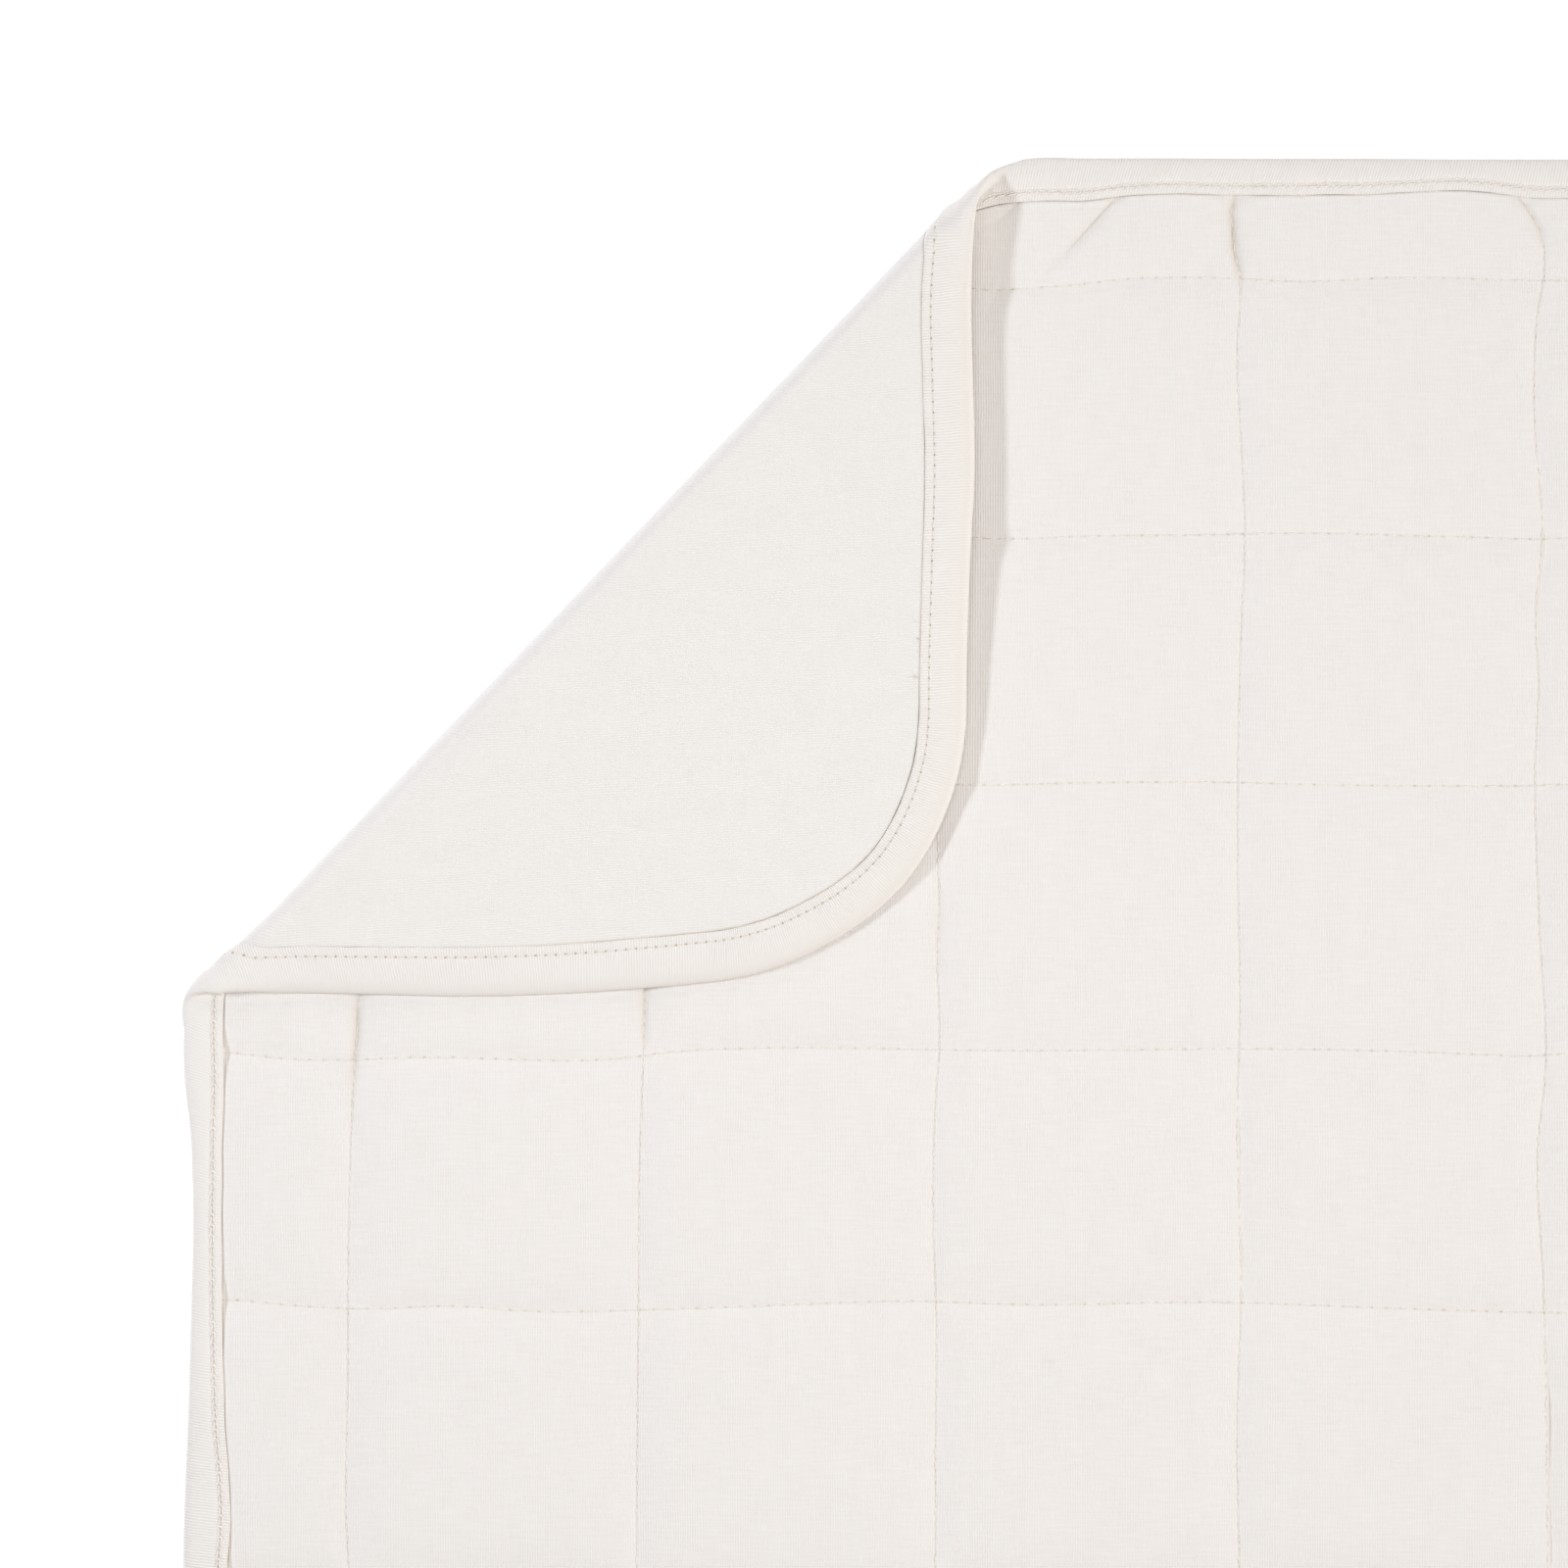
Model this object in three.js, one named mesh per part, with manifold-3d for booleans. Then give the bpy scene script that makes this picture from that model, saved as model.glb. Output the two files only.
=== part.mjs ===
// A quilted cot blanket that lies flat, front up, with its top left corner folded over onto the front.
// The blanket is first laid out flat: x to the right, y to the head edge, t up through the cloth.
// Then the corner beyond the fold line is rolled round and laid back.
import * as THREE from "three";
import { mergeVertices } from "three/addons/utils/BufferGeometryUtils.js";
import Module from "manifold-3d";

const wasm = await Module();
wasm.setup();

// Points nearer than this count as one point
const ON_LINE = 1e-4;

// Size of the whole blanket
const WIDTH = 750;
const LENGTH = 1000;
const CORNER_RADIUS = 72;

// Levels through the cloth, up from the floor
const PIECE_GAP = 0.3;
const BACK_THICK = 0.9;
const FRONT_UNDER = BACK_THICK + PIECE_GAP;
const SEAM_TOP = 2.1;
const PUFF_TOP = 3.4;
const BACK_LEG_THICK = 0.7;
const FRONT_LEG_THICK = 0.95;
const HEM_THICK = 0.5;
const BACK_HEM_UNDER = BACK_LEG_THICK + PIECE_GAP;
const FRONT_HEM_UNDER = BACK_HEM_UNDER + HEM_THICK + PIECE_GAP;
const FRONT_LEG_UNDER = FRONT_HEM_UNDER + HEM_THICK + PIECE_GAP;
const BINDING_TOP = FRONT_LEG_UNDER + FRONT_LEG_THICK;
const MIDDLE = 1.8;

// Binding, measured inwards from the outer edge of the blanket
const BACK_LIP = 3.1;
const FRONT_LIP = 2.5;
const SPINE = 2.2;
const ROUNDING = 1.3;
const ROW_DIP = 0.3;
const ROW_SHOULDER = 1.4;
const NOSE_HALF = 0.95;
const HEM_START = SPINE + 0.5;
const EDGE_CLEARANCE = 0.45;
const STEP_RUN = 3;
const HEM_JOIN = 1.5;

// The edge, walked from the middle of the head edge to the left and on round the blanket.
// drawnIn: how far the edge is pulled in. row: how far the binding's stitch row lies in from the edge.
const EDGE_ROWS = [
  { along: 0, drawnIn: 0.5, row: 7.6 },
  { along: 14, drawnIn: 0.5, row: 7.9 },
  { along: 33, drawnIn: 0.5, row: 6.1 },
  { along: 68, drawnIn: 0.3, row: 6.8 },
  { along: 111, drawnIn: 0.2, row: 6.9 },
  { along: 143, drawnIn: 0.3, row: 8.7 },
  { along: 153, drawnIn: 1.8, row: 8.7 },
  { along: 168, drawnIn: 3.2, row: 10.4 },
  { along: 188, drawnIn: 3.5, row: 11.1 },
  { along: 215, drawnIn: 2.0, row: 11.2 },
  { along: 238, drawnIn: 0.9, row: 11.2 },
  { along: 265, drawnIn: 1.1, row: 11.2 },
  { along: 300, drawnIn: 0.5, row: 11.1 },
  { along: 328, drawnIn: -0.9, row: 11.0 },
  { along: 352, drawnIn: -1.7, row: 10.8 },
  { along: 386, drawnIn: 0.4, row: 10.5 },
  { along: 407, drawnIn: 0.5, row: 10.3 },
  { along: 430, drawnIn: -0.2, row: 10.2 },
  { along: 462, drawnIn: -0.6, row: 10.0 },
  { along: 488, drawnIn: 0.3, row: 9.8 },
  { along: 515, drawnIn: 2.3, row: 9.6 },
  { along: 540, drawnIn: 4.1, row: 9.6 },
  { along: 557, drawnIn: 4.9, row: 9.4 },
  { along: 568, drawnIn: 2.8, row: 8.0 },
  { along: 579, drawnIn: 1.1, row: 7.9 },
  { along: 591, drawnIn: 1.1, row: 8.3 },
  { along: 606, drawnIn: 2.4, row: 6.4 },
  { along: 624, drawnIn: 2.9, row: 5.6 },
  { along: 660, drawnIn: 2.3, row: 6.3 },
  { along: 684, drawnIn: 1.6, row: 7.7 },
  { along: 710, drawnIn: 0.6, row: 10.1 },
  { along: 728, drawnIn: 0.3, row: 9.4 },
  { along: 810, drawnIn: 1.3, row: 7.8 },
  { along: 940, drawnIn: 0.3, row: 8.7 },
  { along: 1080, drawnIn: 1.4, row: 7.6 },
  { along: 1220, drawnIn: 0.4, row: 8.4 },
  { along: 1330, drawnIn: 0.3, row: 8.8 },
  { along: 1480, drawnIn: 1.2, row: 7.6 },
  { along: 1690, drawnIn: 0.3, row: 8.8 },
  { along: 1860, drawnIn: 1.1, row: 8.0 },
  { along: 2050, drawnIn: 0.3, row: 8.6 },
  { along: 2280, drawnIn: 1.4, row: 7.5 },
  { along: 2480, drawnIn: 0.4, row: 8.7 },
  { along: 2690, drawnIn: 1.2, row: 7.8 },
  { along: 2890, drawnIn: 0.3, row: 8.5 },
  { along: 3050, drawnIn: 0.3, row: 8.4 },
  { along: 3210, drawnIn: 0.9, row: 7.5 },
];

// Quilting: where the stitched lines run. drift is how far a line leans over its length.
const UPRIGHT_SEAMS = [
  { x: -329.5, drift: 3.0 },
  { x: -251.3, drift: 2.0 },
  { x: -171.5, drift: 1.0 },
  { x: -89.7, drift: -0.8 },
  { x: -8.6, drift: -2.0 },
  { x: 71.5, drift: 0.8 },
  { x: 151.5, drift: -1.0 },
  { x: 231.5, drift: 1.2 },
  { x: 311.5, drift: 0.6 },
];
const CROSS_SEAMS = [
  { y: 466.5, drift: 2.2 },
  { y: 397.8, drift: 0.6 },
  { y: 331.0, drift: 0.5 },
  { y: 259.2, drift: -0.8 },
  { y: 190.3, drift: -1.0 },
  { y: 118.5, drift: 0.6 },
  { y: 49.0, drift: -1.2 },
  { y: -20.5, drift: 1.0 },
  { y: -90.0, drift: -0.5 },
  { y: -159.5, drift: 1.2 },
  { y: -229.0, drift: -0.9 },
  { y: -298.5, drift: 0.7 },
  { y: -368.0, drift: 1.1 },
  { y: -437.5, drift: -0.6 },
];
const DRIFT_SPAN = 75;
const UPRIGHT_TURN = 195;
const CROSS_TURN = -100;
const WANDER = 0.7;
const WANDER_PITCH = 190;
const WANDER_SHIFT = 3;

// Cushioned shape between two seams: share of the way across, and how full the cloth is there
const PUFF_ROWS = [
  { share: 0, full: 0 },
  { share: 0.12, full: 1 },
  { share: 0.88, full: 1 },
];
const SHOULDER = 9;
const BORDER_LINES = [4, 16, 25];
const BORDER_START = 11;
const BORDER_FALL = 12;
const BORDER_FULL = 0.5;

// The fold, a straight line across the top left corner
const FOLD_ANGLE = THREE.MathUtils.degToRad(46.09);
const FOLD_REACH = 459;
const FOLD_RADIUS = 3.7;
const ROLL_STEPS = 6;
const EDGE_BULGE = 1.8;
const BULGE_WIDTH = 12;

// The flap beyond the roll. away: distance from the roll. lift: middle of the flap above the middle below.
const FLAP_ROWS = [
  { away: 0, lift: 7.4 },
  { away: 36, lift: 7.1 },
  { away: 64, lift: 6.1 },
  { away: 92, lift: 4.6 },
  { away: 116, lift: 4.2 },
  { away: 175, lift: 4.1 },
];
const KNIT_SHORTENING = 0.089;
const SLIP = 3.15;
const SLANT = 0.0556;

const COLOURS = {
  front_panel: "#f1ece7",
  back_panel: "#f0ece6",
  binding: "#ece6df",
};

// A value read smoothly from a table that runs once round the blanket
function roundTable(rows, column, at, total) {
  const count = rows.length;
  const place = ((at % total) + total) % total;
  let low = count - 1;
  while (low > 0 && rows[low].along > place) {
    low -= 1;
  }
  const turn = (index) => Math.floor(index / count) * total;
  const row = (index) => rows[((index % count) + count) % count];
  const key = (index) => row(index).along + turn(index);
  const value = (index) => row(index)[column];
  const slope = (index) => (value(index + 1) - value(index - 1)) / (key(index + 1) - key(index - 1));
  const span = key(low + 1) - key(low);
  const share = (place - key(low)) / span;
  const cubed = share * share * share;
  const squared = share * share;
  return (
    (2 * cubed - 3 * squared + 1) * value(low) +
    (cubed - 2 * squared + share) * span * slope(low) +
    (3 * squared - 2 * cubed) * value(low + 1) +
    (cubed - squared) * span * slope(low + 1)
  );
}

// The outline as straight runs and quarter turns
const HALF_W = WIDTH / 2;
const HALF_L = LENGTH / 2;
const ARC = (Math.PI / 2) * CORNER_RADIUS;
const SIDE_RUNS = [
  { x: 0, y: HALF_L, heading: Math.PI, length: HALF_W - CORNER_RADIUS },
  { x: -HALF_W, y: HALF_L - CORNER_RADIUS, heading: -Math.PI / 2, length: LENGTH - 2 * CORNER_RADIUS },
  { x: -HALF_W + CORNER_RADIUS, y: -HALF_L, heading: 0, length: WIDTH - 2 * CORNER_RADIUS },
  { x: HALF_W, y: -HALF_L + CORNER_RADIUS, heading: Math.PI / 2, length: LENGTH - 2 * CORNER_RADIUS },
  { x: HALF_W - CORNER_RADIUS, y: HALF_L, heading: Math.PI, length: HALF_W - CORNER_RADIUS },
];
const OUTLINE_LENGTH = 2 * (WIDTH + LENGTH) - 8 * CORNER_RADIUS + 4 * ARC;

function nominalEdge(along) {
  let rest = along;
  for (const run of SIDE_RUNS) {
    if (rest <= run.length) {
      const dx = Math.cos(run.heading);
      const dy = Math.sin(run.heading);
      return { x: run.x + dx * rest, y: run.y + dy * rest, inX: -dy, inY: dx };
    }
    rest -= run.length;
    if (rest < ARC) {
      const heading = run.heading + rest / CORNER_RADIUS;
      const inX = -Math.sin(run.heading);
      const inY = Math.cos(run.heading);
      const centreX = run.x + Math.cos(run.heading) * run.length + inX * CORNER_RADIUS;
      const centreY = run.y + Math.sin(run.heading) * run.length + inY * CORNER_RADIUS;
      return {
        x: centreX + Math.sin(heading) * CORNER_RADIUS,
        y: centreY - Math.cos(heading) * CORNER_RADIUS,
        inX: -Math.sin(heading),
        inY: Math.cos(heading),
      };
    }
    rest -= ARC;
  }
  return nominalEdge(0);
}

// The point that lies a given depth in from the real, uneven edge
function edgePoint(along, depth) {
  const edge = nominalEdge(along);
  const inset = roundTable(EDGE_ROWS, "drawnIn", along, OUTLINE_LENGTH) + depth;
  return [edge.x + edge.inX * inset, edge.y + edge.inY * inset];
}

const rowDepth = (along) => roundTable(EDGE_ROWS, "row", along, OUTLINE_LENGTH);
const frontLeg = (along) => rowDepth(along) + FRONT_LIP;
const backLeg = (along) => rowDepth(along) + BACK_LIP;

// Stations round the edge: closer in the corners and where the fold crosses
const FOLD_CROSSINGS = [
  { from: 140, to: 200 },
  { from: 530, to: 600 },
];
const STRAIGHT_STEP = 56;
const UNEVEN_STEP = 19;
const UNEVEN_END = 740;
const CORNER_STEP = 16;
const CROSSING_STEP = 8;

function edgeStations() {
  const stations = [];
  let along = 0;
  while (along < OUTLINE_LENGTH - CROSSING_STEP) {
    stations.push(along);
    const here = nominalEdge(along + 1);
    const straight = Math.min(Math.abs(here.inX), Math.abs(here.inY)) < ON_LINE;
    const crossing = FOLD_CROSSINGS.some((span) => along >= span.from && along < span.to);
    const straightStep = along < UNEVEN_END ? UNEVEN_STEP : STRAIGHT_STEP;
    const step = straight ? straightStep : CORNER_STEP;
    along += crossing ? CROSSING_STEP : step;
  }
  return stations;
}
const STATIONS = edgeStations();

// The fold as a set of lines parallel to it, with the cross-section placed on each line
const foldOut = { x: -Math.sin(FOLD_ANGLE), y: Math.cos(FOLD_ANGLE) };
const foldAlong = { x: -Math.cos(FOLD_ANGLE), y: -Math.sin(FOLD_ANGLE) };
const ROLL_START = FOLD_REACH - FOLD_RADIUS - MIDDLE;
const ROLL_LENGTH = Math.PI * FOLD_RADIUS;

function foldLines() {
  const lines = [];
  for (let step = 0; step <= ROLL_STEPS; step += 1) {
    const turn = (Math.PI * step) / ROLL_STEPS;
    lines.push({
      at: ROLL_START + (ROLL_LENGTH * step) / ROLL_STEPS,
      place: (along, outer, bulge) => ({
        out: ROLL_START + (FOLD_RADIUS + bulge + outer) * Math.sin(turn),
        along: along + (SLIP * step) / ROLL_STEPS,
        up: MIDDLE + FOLD_RADIUS - (FOLD_RADIUS + outer) * Math.cos(turn),
      }),
    });
  }
  for (const row of FLAP_ROWS.slice(1)) {
    lines.push({
      at: ROLL_START + ROLL_LENGTH + row.away,
      place: (along, outer) => ({
        out: ROLL_START - row.away * (1 - KNIT_SHORTENING),
        along: along + SLIP + SLANT * row.away,
        up: MIDDLE + row.lift + outer,
      }),
    });
  }
  return lines;
}
const FOLD_LINES = foldLines();

const distanceOut = (x, y) => foldOut.x * x + foldOut.y * y;

// Moves a point of the flat blanket to where it lies once the corner is folded
function fold(x, y, t) {
  const out = distanceOut(x, y);
  if (out <= ROLL_START) {
    return [x, y, t];
  }
  const along = foldAlong.x * x + foldAlong.y * y;
  const bulge = y < HALF_L - 2 * CORNER_RADIUS ? EDGE_BULGE * Math.max(0, 1 - (x + HALF_W) / BULGE_WIDTH) : 0;
  let strip = 0;
  while (strip < FOLD_LINES.length - 2 && FOLD_LINES[strip + 1].at < out) {
    strip += 1;
  }
  const near = FOLD_LINES[strip];
  const far = FOLD_LINES[strip + 1];
  const share = (out - near.at) / (far.at - near.at);
  const a = near.place(along, MIDDLE - t, bulge);
  const b = far.place(along, MIDDLE - t, bulge);
  const mix = (key) => a[key] + (b[key] - a[key]) * share;
  const newOut = mix("out");
  const newAlong = mix("along");
  return [
    foldOut.x * newOut + foldAlong.x * newAlong,
    foldOut.y * newOut + foldAlong.y * newAlong,
    mix("up"),
  ];
}

// Splits every triangle along the line where distanceOut reaches a value, with shared points on shared edges
function splitAt(points, triangles, value) {
  const side = points.map((p) => {
    const gap = distanceOut(p[0], p[1]) - value;
    return Math.abs(gap) < ON_LINE ? 0 : gap;
  });
  const made = new Map();
  const between = (i, j) => {
    const key = i < j ? `${i}_${j}` : `${j}_${i}`;
    if (!made.has(key)) {
      const low = Math.min(i, j);
      const high = Math.max(i, j);
      const share = side[low] / (side[low] - side[high]);
      points.push(points[low].map((v, axis) => v + (points[high][axis] - v) * share));
      made.set(key, points.length - 1);
    }
    return made.get(key);
  };
  const result = [];
  for (const triangle of triangles) {
    const signs = triangle.map((i) => Math.sign(side[i]));
    if (Math.max(...signs) <= 0 || Math.min(...signs) >= 0) {
      result.push(triangle);
      continue;
    }
    const onLine = signs.indexOf(0);
    if (onLine >= 0) {
      const [a, b, c] = [0, 1, 2].map((k) => triangle[(onLine + k) % 3]);
      const m = between(b, c);
      result.push([a, b, m], [a, m, c]);
      continue;
    }
    const lone = signs.findIndex((s, k) => s !== signs[(k + 1) % 3] && s !== signs[(k + 2) % 3]);
    const [a, b, c] = [0, 1, 2].map((k) => triangle[(lone + k) % 3]);
    const ab = between(a, b);
    const ac = between(a, c);
    result.push([a, ab, ac], [ab, b, c], [ab, c, ac]);
  }
  return result;
}

// Cuts a flat piece along the fold lines, folds it and makes its geometry
function foldedGeometry(points, triangles) {
  let parts = triangles;
  for (const line of FOLD_LINES) {
    parts = splitAt(points, parts, line.at);
  }
  const geometry = new THREE.BufferGeometry();
  const placed = points.flatMap((p) => fold(p[0], p[1], p[2]));
  geometry.setAttribute("position", new THREE.Float32BufferAttribute(placed, 3));
  geometry.setIndex(parts.flat());
  geometry.computeVertexNormals();
  return geometry;
}

// Closed band round the whole edge: section gives the corners of its cross-section at a station
function edgeBand(section) {
  const points = [];
  const triangles = [];
  const size = section(0).length;
  for (const along of STATIONS) {
    for (const corner of section(along)) {
      points.push([...edgePoint(along, corner.depth), corner.t]);
    }
  }
  for (let station = 0; station < STATIONS.length; station += 1) {
    const here = station * size;
    const next = ((station + 1) % STATIONS.length) * size;
    for (let k = 0; k < size; k += 1) {
      const after = (k + 1) % size;
      triangles.push([here + k, next + k, next + after], [here + k, next + after, here + after]);
    }
  }
  return { points, triangles };
}

// Exact solids for joining and cutting
function toSolid(points, triangles) {
  const mesh = new wasm.Mesh({
    numProp: 3,
    vertProperties: new Float32Array(points.flat()),
    triVerts: new Uint32Array(triangles.flat()),
  });
  return new wasm.Manifold(mesh);
}

function geometryToSolid(source) {
  const bare = source.clone();
  bare.deleteAttribute("normal");
  bare.deleteAttribute("uv");
  const merged = mergeVertices(bare, ON_LINE);
  const position = merged.attributes.position;
  const points = [];
  for (let i = 0; i < position.count; i += 1) {
    points.push([position.getX(i), position.getY(i), position.getZ(i)]);
  }
  const index = Array.from(merged.index.array);
  const triangles = [];
  for (let i = 0; i < index.length; i += 3) {
    triangles.push(index.slice(i, i + 3));
  }
  return toSolid(points, triangles);
}

function fromSolid(solid) {
  const mesh = solid.getMesh();
  const points = [];
  for (let i = 0; i < mesh.vertProperties.length; i += mesh.numProp) {
    points.push(Array.from(mesh.vertProperties.slice(i, i + 3)));
  }
  const triangles = [];
  for (let i = 0; i < mesh.triVerts.length; i += 3) {
    triangles.push(Array.from(mesh.triVerts.slice(i, i + 3)));
  }
  return { points, triangles };
}

// Binding: a strip folded over the edge, with a slight dip along its stitch row on both faces
function bindingSection(along) {
  const row = rowDepth(along);
  const front = frontLeg(along);
  const back = backLeg(along);
  const middle = BINDING_TOP / 2;
  return [
    { depth: back, t: 0 },
    { depth: row, t: ROW_DIP },
    { depth: row - ROW_SHOULDER, t: 0 },
    { depth: ROUNDING, t: 0 },
    { depth: 0, t: middle - NOSE_HALF },
    { depth: 0, t: middle + NOSE_HALF },
    { depth: ROUNDING, t: BINDING_TOP },
    { depth: row - ROW_SHOULDER, t: BINDING_TOP },
    { depth: row, t: BINDING_TOP - ROW_DIP },
    { depth: front, t: BINDING_TOP },
    { depth: front, t: FRONT_LEG_UNDER },
    { depth: SPINE, t: FRONT_LEG_UNDER },
    { depth: SPINE, t: BACK_LEG_THICK },
    { depth: back, t: BACK_LEG_THICK },
  ];
}

// Back panel: plain jersey, flat on the floor, stepping up into the binding round its border
function backPanel() {
  const under = [
    { depth: () => HEM_START, t: BACK_HEM_UNDER },
    { depth: (along) => backLeg(along) + EDGE_CLEARANCE, t: BACK_HEM_UNDER },
    { depth: (along) => backLeg(along) + EDGE_CLEARANCE + STEP_RUN, t: 0 },
  ];
  const over = [
    { depth: () => HEM_START, t: BACK_HEM_UNDER + HEM_THICK },
    { depth: (along) => backLeg(along) + EDGE_CLEARANCE, t: BACK_HEM_UNDER + HEM_THICK },
    { depth: (along) => backLeg(along) + EDGE_CLEARANCE + STEP_RUN, t: BACK_THICK },
  ];
  const rings = [...under.slice().reverse(), ...over];
  const count = STATIONS.length;
  const points = [];
  const triangles = [];
  for (const ring of rings) {
    for (const along of STATIONS) {
      points.push([...edgePoint(along, ring.depth(along)), ring.t]);
    }
  }
  for (let ring = 0; ring + 1 < rings.length; ring += 1) {
    for (let station = 0; station < count; station += 1) {
      const next = (station + 1) % count;
      const a = ring * count + station;
      const b = ring * count + next;
      triangles.push([a, b, b + count], [a, b + count, a + count]);
    }
  }
  const inner = points.slice(0, count).map((p) => new THREE.Vector2(p[0], p[1]));
  const top = (rings.length - 1) * count;
  for (const [a, b, c] of THREE.ShapeUtils.triangulateShape(inner, [])) {
    triangles.push([a, c, b], [top + a, top + b, top + c]);
  }
  return { points, triangles };
}

// Quilted lines as places, each leaning and wandering a little
function seamPlace(base, drift, other, turn) {
  const lean = (drift / 2) * THREE.MathUtils.clamp((other - turn) / DRIFT_SPAN, -1, 1);
  const start = base * WANDER_SHIFT;
  return base + lean + WANDER * Math.sin((2 * Math.PI * (other + start)) / WANDER_PITCH);
}

// Lines of the grid that carries the quilting: over each line, the place and the fullness of the cloth
function quiltLines(seams, key, half, turn) {
  const marks = seams.map((seam) => ({ base: seam[key], drift: seam.drift })).sort((a, b) => a.base - b.base);
  const lines = [];
  for (const inset of BORDER_LINES) {
    lines.push({ place: () => inset - half, full: 1 });
  }
  lines.push({ place: (other) => seamPlace(marks[0].base, marks[0].drift, other, turn) - SHOULDER, full: 1 });
  marks.forEach((mark, index) => {
    const here = (other) => seamPlace(mark.base, mark.drift, other, turn);
    const last = index === marks.length - 1;
    if (last) {
      lines.push({ place: here, full: 0 });
      lines.push({ place: (other) => here(other) + SHOULDER, full: 1 });
      return;
    }
    const next = (other) => seamPlace(marks[index + 1].base, marks[index + 1].drift, other, turn);
    for (const row of PUFF_ROWS) {
      lines.push({ place: (other) => here(other) + (next(other) - here(other)) * row.share, full: row.full });
    }
  });
  for (const inset of BORDER_LINES.slice().reverse()) {
    lines.push({ place: () => half - inset, full: 1 });
  }
  return lines;
}

// 0 beside the binding, where all the cloth is held at one level, to 1 where the quilting is free
function awayFromBorder(x, y) {
  const gapX = HALF_W - Math.abs(x);
  const gapY = HALF_L - Math.abs(y);
  const reach = CORNER_RADIUS;
  const inCorner = gapX < reach && gapY < reach;
  const cornerGap = reach - Math.hypot(reach - gapX, reach - gapY);
  const gap = inCorner ? cornerGap : Math.min(gapX, gapY);
  return THREE.MathUtils.clamp((gap - BORDER_START) / BORDER_FALL, 0, 1);
}

// Upright prism on the outline drawn in by a depth, between two levels
function outlinePrism(depthAt, bottom, top) {
  const outline = STATIONS.map((along) => new THREE.Vector2(...edgePoint(along, depthAt(along))));
  const upright = { depth: top - bottom, bevelEnabled: false };
  const prism = new THREE.ExtrudeGeometry(new THREE.Shape(outline), upright);
  prism.translate(0, 0, bottom);
  return geometryToSolid(prism);
}

// Front panel: the quilted middle, cut to the binding's inner edge, joined to the hem that goes in under it
function frontPanel() {
  const columns = quiltLines(UPRIGHT_SEAMS, "x", HALF_W, UPRIGHT_TURN);
  const rows = quiltLines(CROSS_SEAMS, "y", HALF_L, CROSS_TURN);
  const points = [];
  const triangles = [];
  const wide = columns.length;
  const tall = rows.length;
  for (const level of [0, 1]) {
    for (const row of rows) {
      for (const column of columns) {
        const roughX = column.place(row.place(0));
        const y = row.place(roughX);
        const x = column.place(y);
        const full = THREE.MathUtils.lerp(BORDER_FULL, Math.min(column.full, row.full), awayFromBorder(x, y));
        const top = SEAM_TOP + (PUFF_TOP - SEAM_TOP) * full;
        points.push([x, y, level === 0 ? 0 : top]);
      }
    }
  }
  const at = (level, row, column) => (level * tall + row) * wide + column;
  for (let row = 0; row + 1 < tall; row += 1) {
    for (let column = 0; column + 1 < wide; column += 1) {
      for (const level of [0, 1]) {
        const a = at(level, row, column);
        const b = at(level, row, column + 1);
        const c = at(level, row + 1, column + 1);
        const d = at(level, row + 1, column);
        const faces = level === 1 ? [[a, b, c], [a, c, d]] : [[a, c, b], [a, d, c]];
        triangles.push(...faces);
      }
    }
  }
  const rim = [];
  for (let column = 0; column < wide - 1; column += 1) {
    rim.push([0, column]);
  }
  for (let row = 0; row < tall - 1; row += 1) {
    rim.push([row, wide - 1]);
  }
  for (let column = wide - 1; column > 0; column -= 1) {
    rim.push([tall - 1, column]);
  }
  for (let row = tall - 1; row > 0; row -= 1) {
    rim.push([row, 0]);
  }
  rim.forEach(([row, column], index) => {
    const [nextRow, nextColumn] = rim[(index + 1) % rim.length];
    const a = at(0, row, column);
    const b = at(0, nextRow, nextColumn);
    const c = at(1, nextRow, nextColumn);
    const d = at(1, row, column);
    triangles.push([a, b, c], [a, c, d]);
  });
  const cloth = toSolid(points, triangles);

  const upper = outlinePrism((along) => frontLeg(along) + EDGE_CLEARANCE, FRONT_HEM_UNDER, PUFF_TOP + 1);
  const lower = outlinePrism(
    (along) => backLeg(along) + EDGE_CLEARANCE + STEP_RUN + PIECE_GAP,
    FRONT_UNDER,
    SEAM_TOP - 0.1,
  );
  const middle = cloth.intersect(upper.add(lower));

  const hem = edgeBand((along) => {
    const inner = frontLeg(along) + EDGE_CLEARANCE + HEM_JOIN;
    return [
      { depth: HEM_START, t: FRONT_HEM_UNDER },
      { depth: HEM_START, t: FRONT_HEM_UNDER + HEM_THICK },
      { depth: inner, t: FRONT_HEM_UNDER + HEM_THICK },
      { depth: inner, t: FRONT_HEM_UNDER },
    ];
  });
  return fromSolid(middle.add(toSolid(hem.points, hem.triangles)));
}

function piece(name, parts, roughness) {
  const material = new THREE.MeshStandardMaterial({ color: COLOURS[name], roughness, metalness: 0 });
  const mesh = new THREE.Mesh(foldedGeometry(parts.points, parts.triangles), material);
  mesh.name = name;
  return mesh;
}

const blanket = new THREE.Group();
blanket.add(piece("front_panel", frontPanel(), 0.9));
blanket.add(piece("back_panel", backPanel(), 0.9));
blanket.add(piece("binding", edgeBand(bindingSection), 0.9));

export default blanket;
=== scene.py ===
import math

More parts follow.
